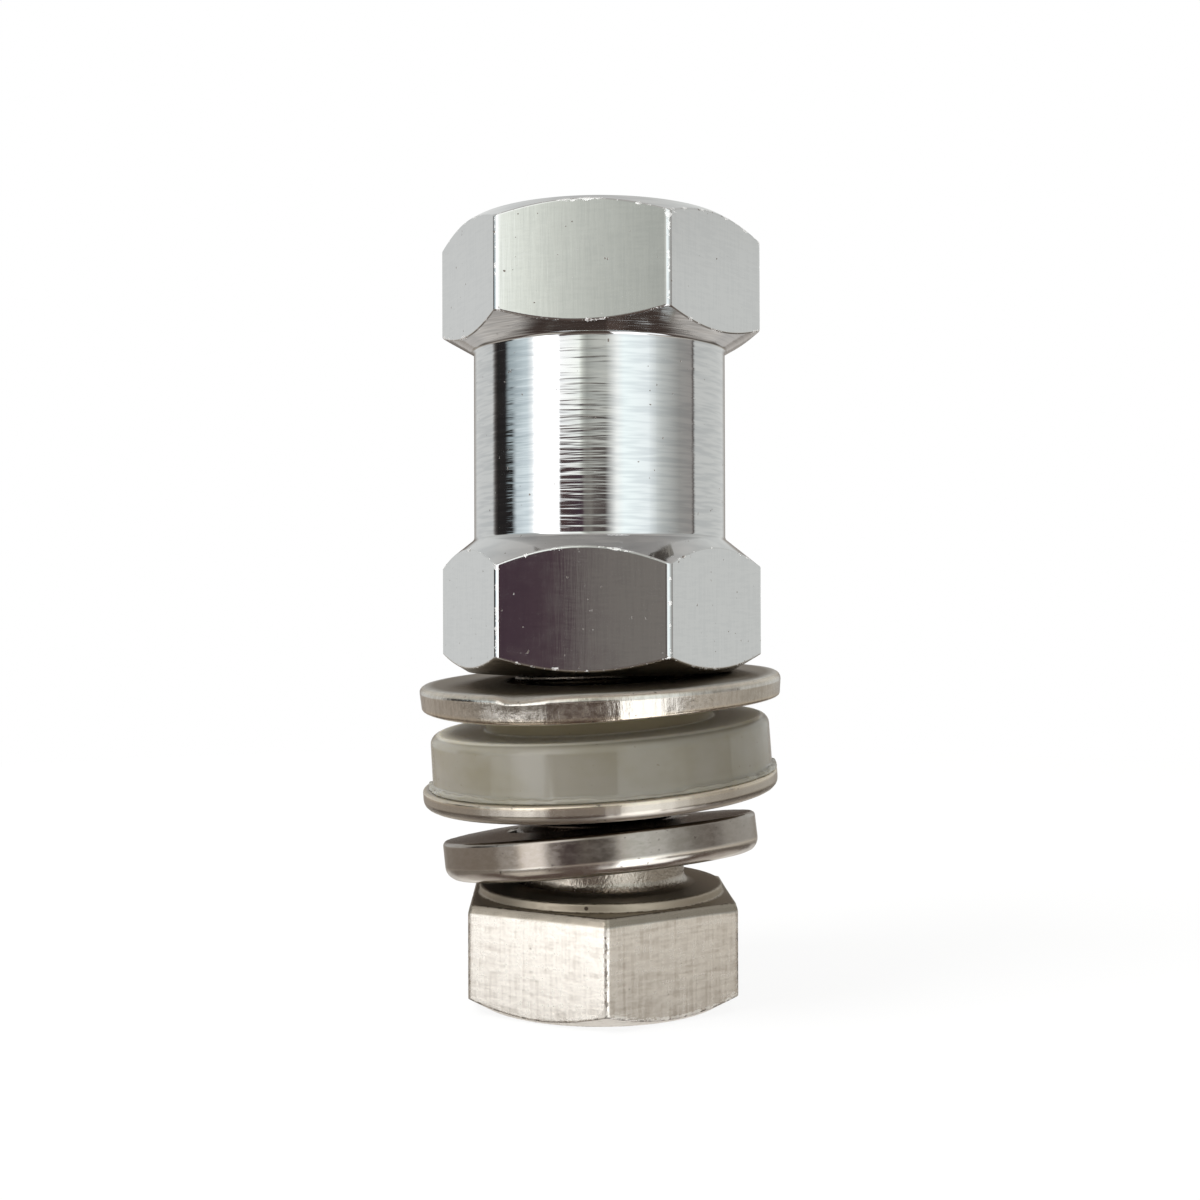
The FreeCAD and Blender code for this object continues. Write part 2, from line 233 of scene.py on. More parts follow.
def noise_along(values: np.ndarray, seed: int, waves: Sequence[tuple[int, float]]) -> np.ndarray:
    """Smooth seeded unevenness round a turn: a sum of sine waves, each with its own random phase.

    Args:
        values: angles in radians.
        seed: seed of the phases.
        waves: pairs of whole waves in a turn and height.

    Returns:
        One number for each angle.
    """
    phases = np.random.default_rng(seed).uniform(0, FULL_TURN, len(waves))
    return sum(size * np.sin(count * values + phase) for (count, size), phase in zip(waves, phases))


@dataclass
class Patch:
    """A grid of points, with a value for each point under each mark."""

    points: np.ndarray
    marks: dict[Mark, np.ndarray]


def mesh_object(name: str, patches: Sequence[Patch]) -> bpy.types.Object:
    """Join grids of points into one closed smooth mesh in metres.

    Neighbouring grid points make quads. Points that meet, at seams, rims and poles, are merged, the
    faces that this leaves without area are dissolved, and normals are turned outwards.

    Args:
        name: name of the object.
        patches: grids in millimetres, whose rims meet point by point.

    Returns:
        The new object, linked to the scene.
    """
    vertices, faces, marks, offset = [], [], {mark: [] for mark in Mark}, 0
    for patch in patches:
        rows, columns = patch.points.shape[:2]
        corner = offset + (np.arange(rows - 1)[:, None] * columns + np.arange(columns - 1)[None, :])
        quads = np.stack([corner, corner + 1, corner + columns + 1, corner + columns], axis=-1)
        vertices.append(patch.points.reshape(-1, 3))
        faces.append(quads.reshape(-1, 4))
        for mark in Mark:
            blank = np.zeros((rows, columns))
            marks[mark].append(np.broadcast_to(patch.marks.get(mark, blank), (rows, columns)).ravel())
        offset += rows * columns
    mesh = bpy.data.meshes.new(name)
    mesh.from_pydata((np.concatenate(vertices) * MM).tolist(), [], np.concatenate(faces).tolist())
    for mark in Mark:
        layer = mesh.attributes.new(mark.value, "FLOAT", "POINT")
        layer.data.foreach_set("value", np.concatenate(marks[mark]).astype(np.float32))
    work = bmesh.new()
    work.from_mesh(mesh)
    bmesh.ops.remove_doubles(work, verts=work.verts, dist=0.0004 * MM)
    bmesh.ops.dissolve_degenerate(work, edges=work.edges, dist=0.0004 * MM)
    bmesh.ops.recalc_face_normals(work, faces=work.faces)
    work.to_mesh(mesh)
    work.free()
    mesh.shade_smooth()
    piece = bpy.data.objects.new(name, mesh)
    bpy.context.scene.collection.objects.link(piece)
    return piece


def polar(azimuth: float) -> float:
    """Turn an azimuth in degrees from -Y towards +X into a polar angle in radians from +X."""
    return math.radians(azimuth - 90)


@dataclass(frozen=True)
class Lean:
    """How a loose washer lies on the shank."""

    degrees: float
    raised_azimuth: float

    def turn(self, share: float = 1.0) -> Quaternion:
        """Rotation by a share of the lean, about the level line square to the raised side."""
        azimuth = math.radians(self.raised_azimuth)
        hinge = Vector((-math.cos(azimuth), -math.sin(azimuth), 0))
        return Quaternion(hinge, share * math.radians(self.degrees))


def seated(patches: Sequence[Patch], lean: Lean, node: str) -> tuple[list[Patch], float]:
    """Lean a washer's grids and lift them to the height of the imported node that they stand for.

    Args:
        patches: grids about the washer's own middle.
        lean: how the washer lies.
        node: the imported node.

    Returns:
        The grids in the part's frame, and the height of the washer's middle in millimetres.
    """
    turn = np.array(lean.turn().to_matrix())
    leaned = [Patch(patch.points @ turn.T, patch.marks) for patch in patches]
    heights = np.concatenate([patch.points[..., 2].ravel() for patch in leaned])
    low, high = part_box(node)
    middle = (low.z + high.z) / 2 / MM - (heights.min() + heights.max()) / 2
    lifted = [Patch(patch.points + np.array([0, 0, middle]), patch.marks) for patch in leaned]
    return lifted, middle


@dataclass(frozen=True)
class Thread:
    """Right-hand 60-degree thread, with one helix for the bolt and the coupling nut.

    A point's phase is its height over the pitch, less its angle over a turn. The bolt's crests and the
    nut's grooves lie where the phase is whole, so the two stay clear as one is screwed along the other.
    """

    pitch: float = THREAD_PITCH
    bolt_crest: float = 4.72
    bolt_root: float = 4.1
    bolt_root_width: float = 0.2
    nut_crest: float = 4.27
    nut_root: float = 4.81
    nut_crest_width: float = 0.28
    outer_width: float = 0.125
    run_out: float = 1.2 * THREAD_PITCH

    def heights(self, inner_width: float, start: float, end: float, angles: np.ndarray) -> np.ndarray:
        """Heights of rows that follow the helix, each clipped between two level ends.

        Args:
            inner_width: width of the profile's flat nearest the axis, as a share of the pitch.
            start: lower end in millimetres.
            end: upper end in millimetres.
            angles: polar angles, with a full turn from first to last.

        Returns:
            Heights as (row, angle).
        """
        outer, inner = self.outer_width / 2, 0.5 - inner_width / 2
        phases = np.array([-inner, -(outer + inner) / 2, -outer, outer, (outer + inner) / 2, inner])
        turns = np.arange(math.floor(start / self.pitch) - 2, math.ceil(end / self.pitch) + 2)
        rows = (turns[:, None] + phases[None, :]).ravel()
        helix = (rows[:, None] + angles[None, :] / FULL_TURN) * self.pitch
        return np.clip(helix, start, end)

    def depth(self, heights: np.ndarray, angles: np.ndarray, inner_width: float) -> np.ndarray:
        """Depth at each point, from 0 on the outer flat to 1 on the flat nearest the axis.

        The distance from the nearest whole phase grows in a straight line from one flat to the other.

        Args:
            heights: heights as (row, angle).
            angles: polar angles.
            inner_width: width of the flat nearest the axis, as a share of the pitch.

        Returns:
            Depths as (row, angle).
        """
        phase = heights / self.pitch - angles[None, :] / FULL_TURN
        away = np.abs(phase - np.round(phase))
        outer, inner = self.outer_width / 2, 0.5 - inner_width / 2
        return np.clip((away - outer) / (inner - outer), 0, 1)

    def on_bolt(self, start: float, end: float, neck: float, tip: float, angles: np.ndarray) -> Patch:
        """The bolt's thread, which runs out to the neck below and is cut by a 45-degree cone above.

        Args:
            start: height where the neck ends.
            end: height of the shank's end.
            neck: radius of the neck.
            tip: radius of the cone at the shank's end.
            angles: polar angles.

        Returns:
            The grid of the thread.
        """
        heights = self.heights(self.bolt_root_width, start, end, angles)
        depth = self.depth(heights, angles, self.bolt_root_width)
        radius = self.bolt_crest - (self.bolt_crest - self.bolt_root) * depth
        run = np.clip((heights - start) / self.run_out, 0, 1)
        radius = neck + (radius - neck) * run * run * (3 - 2 * run)
        radius = np.minimum(radius, tip + end - heights)
        edge = 0.15 + 0.6 * depth
        return Patch(around(radius, heights, angles), {Mark.EDGE: edge, Mark.TURNED: np.ones_like(edge)})

    def in_nut(self, start: float, end: float, mouth: float, angles: np.ndarray) -> Patch:
        """The coupling nut's thread, right through and opened by a 45-degree cone at each end.

        Args:
            start: height of the lower end.
            end: height of the upper end.
            mouth: radius of the cones at the ends.
            angles: polar angles.

        Returns:
            The grid of the thread.
        """
        heights = self.heights(self.nut_crest_width, start, end, angles)
        depth = self.depth(heights, angles, self.nut_crest_width)
        radius = self.nut_root - (self.nut_root - self.nut_crest) * depth
        radius = np.maximum(radius, mouth - np.minimum(heights - start, end - heights))
        edge = np.full_like(radius, 2.0)
        return Patch(around(radius, heights, angles), {Mark.EDGE: edge, Mark.TURNED: np.ones_like(edge)})


def around(radius: np.ndarray, height: np.ndarray, angles: np.ndarray) -> np.ndarray:
    """Points as (row, angle, 3) from radii and heights at each row and angle."""
    return np.stack([radius * np.cos(angles), radius * np.sin(angles), height], axis=-1)


def edge_distance(outline: np.ndarray, corners: np.ndarray, skipped: Sequence[int] = ()) -> np.ndarray:
    """Distance from each point of the outlines to the nearest of their corners, in millimetres.

    Args:
        outline: points as (line, point, 2).
        corners: the corners before rounding, as (line, corner, 2).
        skipped: places of corners that are not an edge.

    Returns:
        Distances as (point, line).
    """
    kept = [place for place in range(1, corners.shape[1] - 1) if place not in skipped]
    gaps = outline[:, :, None] - corners[:, None, kept]
    return np.linalg.norm(gaps, axis=-1).min(axis=-1).T


@dataclass
class HexBolt:
    """Hex cap screw that stands on its head: chamfered hex, turned bearing face, neck and thread."""

    across_flats: float = 14.29
    corner_round: float = 0.35
    turn: float = 38.64
    head_height: float = 5.75
    flat_radius: float = 6.8
    chamfer_angle: float = 30.0
    face_radius: float = 6.7
    face_height: float = 0.5
    rolled_band: float = 0.44
    rolled_in: float = 0.15
    neck_radius: float = 4.6
    neck_length: float = 2.2
    tip_radius: float = 3.62

    def outline(self, angles: np.ndarray) -> Patch:
        """Everything below the thread, from the middle of the lower face to the neck's end.

        The chamfer rises from the flat circle with the hexagon's radius, so the edge between them
        dips at the flats and climbs at the corners. A rolled band, whose width wavers, leans in above
        the flats.

        Args:
            angles: polar angles.

        Returns:
            The grid of the outside.
        """
        radius = hex_radius(angles, self.across_flats, self.corner_round, math.radians(self.turn))
        rise = (radius - self.flat_radius) * math.tan(math.radians(self.chamfer_angle))
        face = self.head_height + self.face_height
        band = self.rolled_band + noise_along(angles, 21, ((7, 0.02), (19, 0.02), (53, 0.015), (113, 0.01)))
        corners = corner_lines(len(angles), (
            (0.0, 0.0),
            (self.flat_radius, 0.0),
            (radius, rise),
            (radius, self.head_height - band),
            (radius - self.rolled_in, self.head_height),
            (self.face_radius, self.head_height),
            (self.face_radius, face),
            (self.neck_radius, face),
            (self.neck_radius, face + self.neck_length),
        ))
        rounds = (0, 0.12, 0.1, 0.5, 0.12, 0.12, 0.14, 0.6, 0)
        outline = subdivided(rounded_outline(corners, rounds), 0.55)
        edges = edge_distance(outline, corners, skipped=(3, 7))
        on_flat = (np.abs(outline[..., 0] - radius[:, None]) < 0.05).T
        side = hex_side_distance(angles, self.across_flats, math.radians(self.turn))[None, :]
        edges = np.where(on_flat, np.minimum(edges, side), edges)
        points = around(outline[..., 0].T, outline[..., 1].T, angles)
        return Patch(points, {Mark.EDGE: edges, Mark.TURNED: 1.0 - on_flat})

    def build(self, thread: Thread) -> bpy.types.Object:
        """Make the bolt as one closed piece.

        Args:
            thread: the thread that it shares with the coupling nut.

        Returns:
            The bolt.
        """
        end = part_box("hex_bolt")[1].z / MM
        angles = hex_angles(self.across_flats, self.corner_round, math.radians(self.turn))
        start = self.head_height + self.face_height + self.neck_length
        tip = np.stack([np.full_like(angles, self.tip_radius), np.full_like(angles, end)])
        centre = np.stack([np.zeros_like(angles), np.full_like(angles, end)])
        end_face = Patch(around(*np.stack([tip, centre], axis=1), angles), {Mark.TURNED: np.ones((2, 1))})
        shank = thread.on_bolt(start, end, self.neck_radius, self.tip_radius, angles)
        return mesh_object("cap_screw", [self.outline(angles), shank, end_face])


def hex_side_distance(angles: np.ndarray, across_flats: float, corner: float) -> np.ndarray:
    """Distance along the flat from each angle to the hexagon's nearest corner, in millimetres."""
    from_flat = np.mod(angles - corner, math.pi / 3) - math.pi / 6
    half = across_flats / 2
    return half * (math.tan(math.pi / 6) - np.abs(np.tan(from_flat)))


@dataclass
class LockWasher:
    """Spring lock washer: a worn wedge section, coiled left-handed through a little less than a turn."""

    inner_radius: float = 5.05
    outer_radius: float = 8.66
    inner_height: float = 2.4
    outer_height: float = 2.1
    coil_rise: float = 0.5
    coil_sweep: float = 352.0
    split_azimuth: float = 164.0
    foot_radius: float = 6.8
    worn_radius: float = 8.3
    lean: Lean = Lean(8.2, 57.2)

    def section(self) -> np.ndarray:
        """Closed outline of the wire as radius and height, with the rim's lower corner the roundest."""
        hole, rim = self.inner_height / 2, self.outer_height / 2
        middle = (hole + rim) / 2
        corners = np.array([[
            (self.foot_radius, -middle), (self.outer_radius, -rim), (self.outer_radius, rim),
            (self.inner_radius, hole), (self.inner_radius, -hole), (self.foot_radius, -middle),
        ]])
        return subdivided(rounded_outline(corners, (0, 0.75, 0.24, 0.14, 0.14, 0), 8), 0.35)[0]

    def build(self) -> tuple[bpy.types.Object, float]:
        """Coil the section clockwise seen from above as it climbs, and close both cut ends.

        Returns:
            The washer and the height of its middle in millimetres.
        """
        section = self.section()
        share = np.linspace(0, 1, 300)
        gap = (360 - self.coil_sweep) / 2
        angles = polar(self.split_azimuth - gap) - share * math.radians(self.coil_sweep)
        climb = self.coil_rise * self.coil_sweep / 360
        wear = noise_along(angles, 11, ((3, 0.014), (7, 0.01), (17, 0.005), (41, 0.003)))
        bulge = (section[:, :1] > self.worn_radius) * wear[None, :]
        radius = section[:, :1] + bulge
        height = section[:, 1:] + (share[None, :] - 0.5) * climb
        height = height + 0.6 * bulge * np.sign(section[:, 1:])
        coil = around(radius, height, angles)
        rims = [np.array([self.outer_radius, sense * self.outer_height / 2]) for sense in (-1, 1)]
        distance = np.minimum(*(np.linalg.norm(section - rim, axis=1) for rim in rims))[:, None]
        side = (section[:, :1] > self.outer_radius - 0.1) * 1.0
        patches = [Patch(coil, {Mark.EDGE: distance, Mark.SIDE: side, Mark.TURNED: 1.0 - side})]
        for column in (0, -1):
            loop = coil[:, column]
            middle = loop.mean(axis=0)
            shares = np.array([0, 0.05, 0.5, 1])[:, None, None]
            cap = loop[None] * (1 - shares) + middle * shares
            patches.append(Patch(cap, {Mark.EDGE: np.broadcast_to(shares[..., 0] * 2, cap.shape[:2])}))
        lifted, middle = seated(patches, self.lean, "lock_washer")
        return mesh_object("spring_lock_washer", lifted), middle


@dataclass(frozen=True)
class Dent:
    """A blow on a washer's rim: a narrow dip in the upper edge over a wide sag of the lower one."""

    azimuth: float
    depth: float = 0.26
    left_flank: float = 0.55
    right_flank: float = 2.1
    pushed_in: float = 0.25
    sag: float = 0.28
    sag_reach: float = 8.0


@dataclass
class FlatWasher:
    """Stamped flat washer: a rolled edge on one side, and a sheared side that may narrow downwards."""

    name: str
    node: str
    radius: float
    thickness: float
    hole_radius: float
    lean: Lean
    draft: float
    rounds: tuple[float, float]
    seed: int
    crown: float = 0.0
    crown_width: float = 2.6
    rim_width: float = 1.0
    dent: Dent | None = None

    def build(self) -> tuple[bpy.types.Object, float]:
        """Turn the section, crown its upper face towards the rim, and push the rim in where it was struck.

        The dent is a bell in the angle times a ramp in the radius, steep on its left flank. It lowers
        the upper edge and pushes it in. A wider bell lets the lower edge sag.

        Returns:
            The washer and the height of its middle in millimetres.
        """
        angles = np.linspace(polar(180), polar(180) + FULL_TURN, 721)
        half = self.thickness / 2
        foot = self.radius - self.thickness * math.tan(math.radians(self.draft))
        hole = self.hole_radius
        corners = np.array([[
            ((hole + foot) / 2, -half), (foot, -half), (self.radius, half), (hole, half), (hole, -half),
            ((hole + foot) / 2, -half),
        ]])
        outline = subdivided(rounded_outline(corners, (0, *self.rounds, 0.1, 0.12, 0), 5), 0.3)
        edges = np.repeat(edge_distance(outline, corners, skipped=(3, 4)), len(angles), axis=1)
        across, up = outline[0, :, :1], outline[0, :, 1:]
        rim = np.clip((across - self.radius + self.rim_width) / (0.8 * self.rim_width), 0, 1) ** 2
        wear = noise_along(angles, self.seed, ((2, 0.008), (5, 0.008), (23, 0.004), (67, 0.003)))
        radius = across - np.abs(rim * wear[None, :])
        outer = np.clip((across - self.radius + self.crown_width) / self.crown_width, 0, 1)
        height = np.broadcast_to(up - self.crown * outer**2 * (up > 0), radius.shape)
        if self.dent is not None:
            dent = self.dent
            offset = np.mod(angles - polar(dent.azimuth) + math.pi, FULL_TURN) - math.pi
            along = (offset * self.radius)[None, :]
            bell = np.exp(-((along / np.where(along < 0, dent.left_flank, dent.right_flank)) ** 2))
            sag = np.exp(-((along / dent.sag_reach) ** 2))
            upper, lower = np.clip(up / half, 0, 1), np.clip(-up / half, 0, 1)
            height = height - rim * (dent.depth * bell * upper + dent.sag * sag * lower)
            radius = radius - dent.pushed_in * dent.depth * rim * bell * upper**4
        side = (across > foot - 0.02) & (np.abs(up) < half - 0.02)
        marks = {Mark.EDGE: edges, Mark.SIDE: side * 1.0, Mark.TURNED: 1.0 - side}
        lifted, middle = seated([Patch(around(radius, height, angles), marks)], self.lean, self.node)
        return mesh_object(self.name, lifted), middle


@dataclass
class ShoulderWasher:
    """Moulded nylon shoulder washer: drafted flange with a thin ragged lip, and a centring boss."""

    flange_radius: float = 9.4
    flange_height: float = 2.95
    draft: float = 1.0
    rim_round: float = 0.55
    lip_radius: float = 9.66
    lip_height: float = 0.3
    boss_radius: float = 6.3
    boss_height: float = 0.9
    hole_radius: float = 5.2
    foot_radius: float = 7.4
    burr_azimuth: float = -80.0
    burr_width: float = 0.05
    lean: Lean = Lean(4.17, 127.0)

    @property
    def flange_top(self) -> float:
        """Height of the flange's upper face above the middle of the piece."""
        return (self.flange_height - self.boss_height) / 2

    def build(self) -> tuple[bpy.types.Object, float]:
        """Turn the section and let the moulding lip wander in and out.

        Returns:
            The washer and the height of its middle in millimetres.
        """
        angles = np.linspace(polar(180), polar(180) + FULL_TURN, 361)
        half = (self.flange_height + self.boss_height) / 2
        flange_top = self.flange_top
        drawn_in = math.tan(math.radians(self.draft))
        corners = np.array([[
            (self.foot_radius, -half),
            (self.lip_radius, -half),
            (self.lip_radius - 0.04, self.lip_height - half),
            (self.flange_radius - self.lip_height * drawn_in, self.lip_height - half),
            (self.flange_radius - self.flange_height * drawn_in, flange_top),
            (self.boss_radius, flange_top),
            (self.boss_radius, half),
            (self.hole_radius, half),
            (self.hole_radius, -half),
            (self.foot_radius, -half),
        ]])
        rounds = (0, 0.05, 0.1, 0.08, self.rim_round, 0.15, 0.2, 0.12, 0.12, 0)
        outline = subdivided(rounded_outline(corners, rounds, 6), 0.3)
        edges = np.repeat(edge_distance(outline, corners), len(angles), axis=1)
        across, up = outline[0, :, :1], outline[0, :, 1:]
        lip = np.clip((across - self.flange_radius + 0.05) / 0.15, 0, 1)
        wander = noise_along(angles, 5, ((3, 0.03), (8, 0.025), (19, 0.02), (43, 0.014), (97, 0.008)))
        offset = np.mod(angles - polar(self.burr_azimuth) + math.pi, FULL_TURN) - math.pi
        burr = np.exp(-((offset / self.burr_width) ** 2))
        radius = across - lip * np.abs(wander + 0.03)[None, :] + lip * 0.03 * burr[None, :]
        top_of_lip = lip * (up > -half + 0.1)
        height = up - top_of_lip * np.clip(0.08 + 1.6 * wander - 0.12 * burr, -0.05, 0.2)[None, :]
        grid = Patch(around(radius, height, angles), {Mark.EDGE: edges})
        lifted, middle = seated([grid], self.lean, "insulator")
        return mesh_object("nylon_shoulder_washer", lifted), middle


@dataclass
class CouplingNut:
    """Double-hex coupling nut: chamfered hexes, cone shoulders, a turned waist and a through thread."""

    across_flats: float = 15.5
    corner_round: float = 0.45
    end_radius: float = 7.3
    end_angle: float = 31.0
    waist_radius: float = 6.95
    lower_hex_length: float = 7.27
    upper_hex_length: float = 6.9
    lower_shoulder_angle: float = 38.7
    upper_shoulder_angle: float = 29.5
    mouth_radius: float = 5.02

    def outline(self, base: float, length: float, angles: np.ndarray) -> Patch:
        """The outside, from the lower mouth over both hexes to the upper mouth.

        Each cone meets the hexagon where its height has changed by the radius left over times the
        tangent of its angle, which gives the curved edges on the flats.

        Args:
            base: height of the lower end.
            length: length of the nut.
            angles: polar angles.

        Returns:
            The grid of the outside.
        """
        radius = hex_radius(angles, self.across_flats, self.corner_round, 0.0)
        end_rise = (radius - self.end_radius) * math.tan(math.radians(self.end_angle))
        lower = self.lower_hex_length
        upper = length - self.upper_hex_length
        lower_drop = (radius - self.waist_radius) * math.tan(math.radians(self.lower_shoulder_angle))
        upper_rise = (radius - self.waist_radius) * math.tan(math.radians(self.upper_shoulder_angle))
        corners = corner_lines(len(angles), (
            (self.mouth_radius, 0.0),
            (self.end_radius, 0.0),
            (radius, end_rise),
            (radius, lower - lower_drop),
            (self.waist_radius, lower),
            (self.waist_radius, upper),
            (radius, upper + upper_rise),
            (radius, length - end_rise),
            (self.end_radius, length),
            (self.mouth_radius, length),
        ))
        rounds = (0, 0.12, 0.1, 0.12, 0.25, 0.25, 0.12, 0.1, 0.12, 0)
        outline = subdivided(rounded_outline(corners, rounds), 0.6)
        edges = edge_distance(outline, corners, skipped=(4, 5))
        on_flat = (np.abs(outline[..., 0] - radius[:, None]) < 0.05).T
        side = hex_side_distance(angles, self.across_flats, 0.0)[None, :]
        edges = np.where(on_flat, np.minimum(edges, side), edges)
        points = around(outline[..., 0].T, outline[..., 1].T + base, angles)
        return Patch(points, {Mark.EDGE: edges, Mark.TURNED: 1.0 - on_flat})

    def build(self, thread: Thread) -> bpy.types.Object:
        """Make the coupling nut as one closed piece.

        Args:
            thread: the thread that it shares with the bolt.

        Returns:
            The coupling nut.
        """
        low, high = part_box("coupling_nut")
        base, top = low.z / MM, high.z / MM
        angles = hex_angles(self.across_flats, self.corner_round, math.radians(60))
        bore = thread.in_nut(base, top, self.mouth_radius, angles)
        return mesh_object("double_hex_coupling", [self.outline(base, top - base, angles), bore])


def add_node(tree: bpy.types.NodeTree, kind: str, inputs: dict[Any, Any] | None = None, **settings: Any
             ) -> bpy.types.Node:
    """Add a node with its settings, and fill its inputs with values or link them to sockets.

    Args:
        tree: the node tree.
        kind: the node's type, without the leading "ShaderNode".
        inputs: a value or an output socket for each input, by name or place.
        settings: properties of the node.

    Returns:
        The new node.
    """
    node = tree.nodes.new("ShaderNode" + kind)
    for name, value in settings.items():
        setattr(node, name, value)
    for place, value in (inputs or {}).items():
        if isinstance(value, bpy.types.NodeSocket):
            tree.links.new(value, node.inputs[place])
        else:
            node.inputs[place].default_value = value
    return node


def arithmetic(tree: bpy.types.NodeTree, operation: str, *values: Any) -> bpy.types.NodeSocket:
    """Add one step of arithmetic on numbers or sockets."""
    return add_node(tree, "Math", dict(enumerate(values)), operation=operation).outputs[0]


def set_ramp(node: bpy.types.Node, stops: Sequence[tuple[float, str]]) -> None:
    """Give a colour ramp its stops, each a position from 0 to 1 with an sRGB hex colour."""
    ramp = node.color_ramp
    while len(ramp.elements) > 1:
        ramp.elements.remove(ramp.elements[-1])
    for place, (position, colour) in enumerate(stops):
        element = ramp.elements[0] if place == 0 else ramp.elements.new(position)
        element.position = position
        element.color = linear(colour)


class Surface:
    """A material in the making: its tree, its shader, and patterns on the piece in millimetres."""

    def __init__(self, name: str, lean: Lean | None = None, middle: float = 0.0) -> None:
        """Start a material whose patterns are square to the piece.

        Args:
            name: name of the material.
            lean: how the piece leans, which the patterns undo.
            middle: height of the leaning piece's middle in millimetres.
        """
        self.material = bpy.data.materials.new(name)
        self.material.use_nodes = True
        self.tree = self.material.node_tree
        self.tree.nodes.clear()
        self.shader = self.add("BsdfPrincipled")
        self.add("OutputMaterial", {"Surface": self.shader.outputs[0]})
        upright = Quaternion() if lean is None else lean.turn(-1.0)
        self.point = self.add("Mapping", {
            "Vector": self.add("TexCoord").outputs["Object"],
            "Location": upright @ Vector((0, 0, -middle)),
            "Rotation": upright.to_euler(),
            "Scale": (1 / MM, 1 / MM, 1 / MM),
        }).outputs[0]
        parts = self.add("SeparateXYZ", {0: self.point})
        self.height = parts.outputs["Z"]
        squares = [self.times(parts.outputs[axis], parts.outputs[axis]) for axis in "XY"]
        self.radius = self.math("SQRT", self.math("ADD", *squares))

    def add(self, kind: str, inputs: dict[Any, Any] | None = None, **settings: Any) -> bpy.types.Node:
        """Add a node to this material, as add_node does."""
        return add_node(self.tree, kind, inputs, **settings)

    def math(self, operation: str, *values: Any) -> bpy.types.NodeSocket:
        """One step of arithmetic on numbers or sockets."""
        return arithmetic(self.tree, operation, *values)

    def times(self, first: Any, second: Any) -> bpy.types.NodeSocket:
        """Multiply two numbers or sockets."""
        return self.math("MULTIPLY", first, second)

    def greater(self, first: Any, second: Any) -> bpy.types.NodeSocket:
        """The greater of two numbers or sockets."""
        return self.math("MAXIMUM", first, second)

    def rest(self, share: Any) -> bpy.types.NodeSocket:
        """What a share leaves of one."""
        return self.math("SUBTRACT", 1.0, share)

    def mark(self, mark: Mark) -> bpy.types.NodeSocket:
        """The piece's own value under a mark."""
        return self.add("Attribute", attribute_name=mark.value).outputs["Fac"]

    def fade(self, value: Any, start: float, end: float, low: float = 0.0, high: float = 1.0
             ) -> bpy.types.NodeSocket:
        """Smooth step from low at start to high at end."""
        return self.add("MapRange", {0: value, 1: start, 2: end, 3: low, 4: high},
                        interpolation_type="SMOOTHSTEP").outputs[0]

    def noise(self, sizes: tuple[float, float, float], detail: float = 3.0, roughness: float = 0.55,
              lines: bool = False) -> bpy.types.NodeSocket:
        """Noise whose grains have a given size along each axis.

        Args:
            sizes: grain size along X, Y and Z in millimetres.
            detail: finer layers added to it.
            roughness: share of each finer layer.
            lines: follow the lathe, with the radius added to the height so that flat faces get rings.

        Returns:
            The noise, from 0 to 1 about 0.5.
        """
        vector = self.point
        if lines:
            parts = self.add("SeparateXYZ", {0: self.point})
            along = self.math("ADD", self.height, self.radius)
            vector = self.add("CombineXYZ", {0: parts.outputs[0], 1: parts.outputs[1], 2: along}).outputs[0]
        scaled = self.add("VectorMath", {0: vector, 1: tuple(1 / size for size in sizes)},
                          operation="MULTIPLY").outputs[0]
        return self.add("TexNoise", {"Vector": scaled, "Scale": 1.0, "Detail": detail,
                                     "Roughness": roughness}).outputs["Fac"]

    def relief(self, *layers: tuple[Any, float]) -> bpy.types.NodeSocket:
        """Raise the surface by layers, one over the other.

        Args:
            layers: pairs of height, from 0 to 1, and depth in millimetres.

        Returns:
            The normal.
        """
        normal = None
        for height, depth in layers:
            inputs = {"Strength": 1.0, "Distance": depth * MM, "Height": height}
            if normal is not None:
                inputs["Normal"] = normal
            normal = self.add("Bump", inputs).outputs[0]
        return normal

    def blend(self, share: Any, low: str | bpy.types.NodeSocket, high: str | bpy.types.NodeSocket
              ) -> bpy.types.NodeSocket:
        """Mix two colours, each an sRGB hex colour or a socket."""
        node = self.add("Mix", {0: share}, data_type="RGBA")
        for place, colour in ((6, low), (7, high)):
            if isinstance(colour, str):
                node.inputs[place].default_value = linear(colour)
            else:
                self.tree.links.new(colour, node.inputs[place])
        return node.outputs[2]

    def coats(self, colour: str, *coats: tuple[Any, Any]) -> bpy.types.NodeSocket:
        """Lay colours over one another.

        Args:
            colour: the sRGB hex colour underneath.
            coats: pairs of share and colour, each colour an sRGB hex colour or a socket.

        Returns:
            The colour on top.
        """
        for share, coat in coats:
            colour = self.blend(share, colour, coat)
        return colour

    def set(self, **values: Any) -> None:
        """Fill the shader's sockets, whose names are given with underscores for spaces."""
        for name, value in values.items():
            socket = self.shader.inputs[name.replace("_", " ")]
            if isinstance(value, bpy.types.NodeSocket):
                self.tree.links.new(value, socket)
            else:
                socket.default_value = value

    def dress(self, piece: bpy.types.Object) -> None:
        """Give the material to a piece."""
        piece.data.materials.clear()
        piece.data.materials.append(self.material)


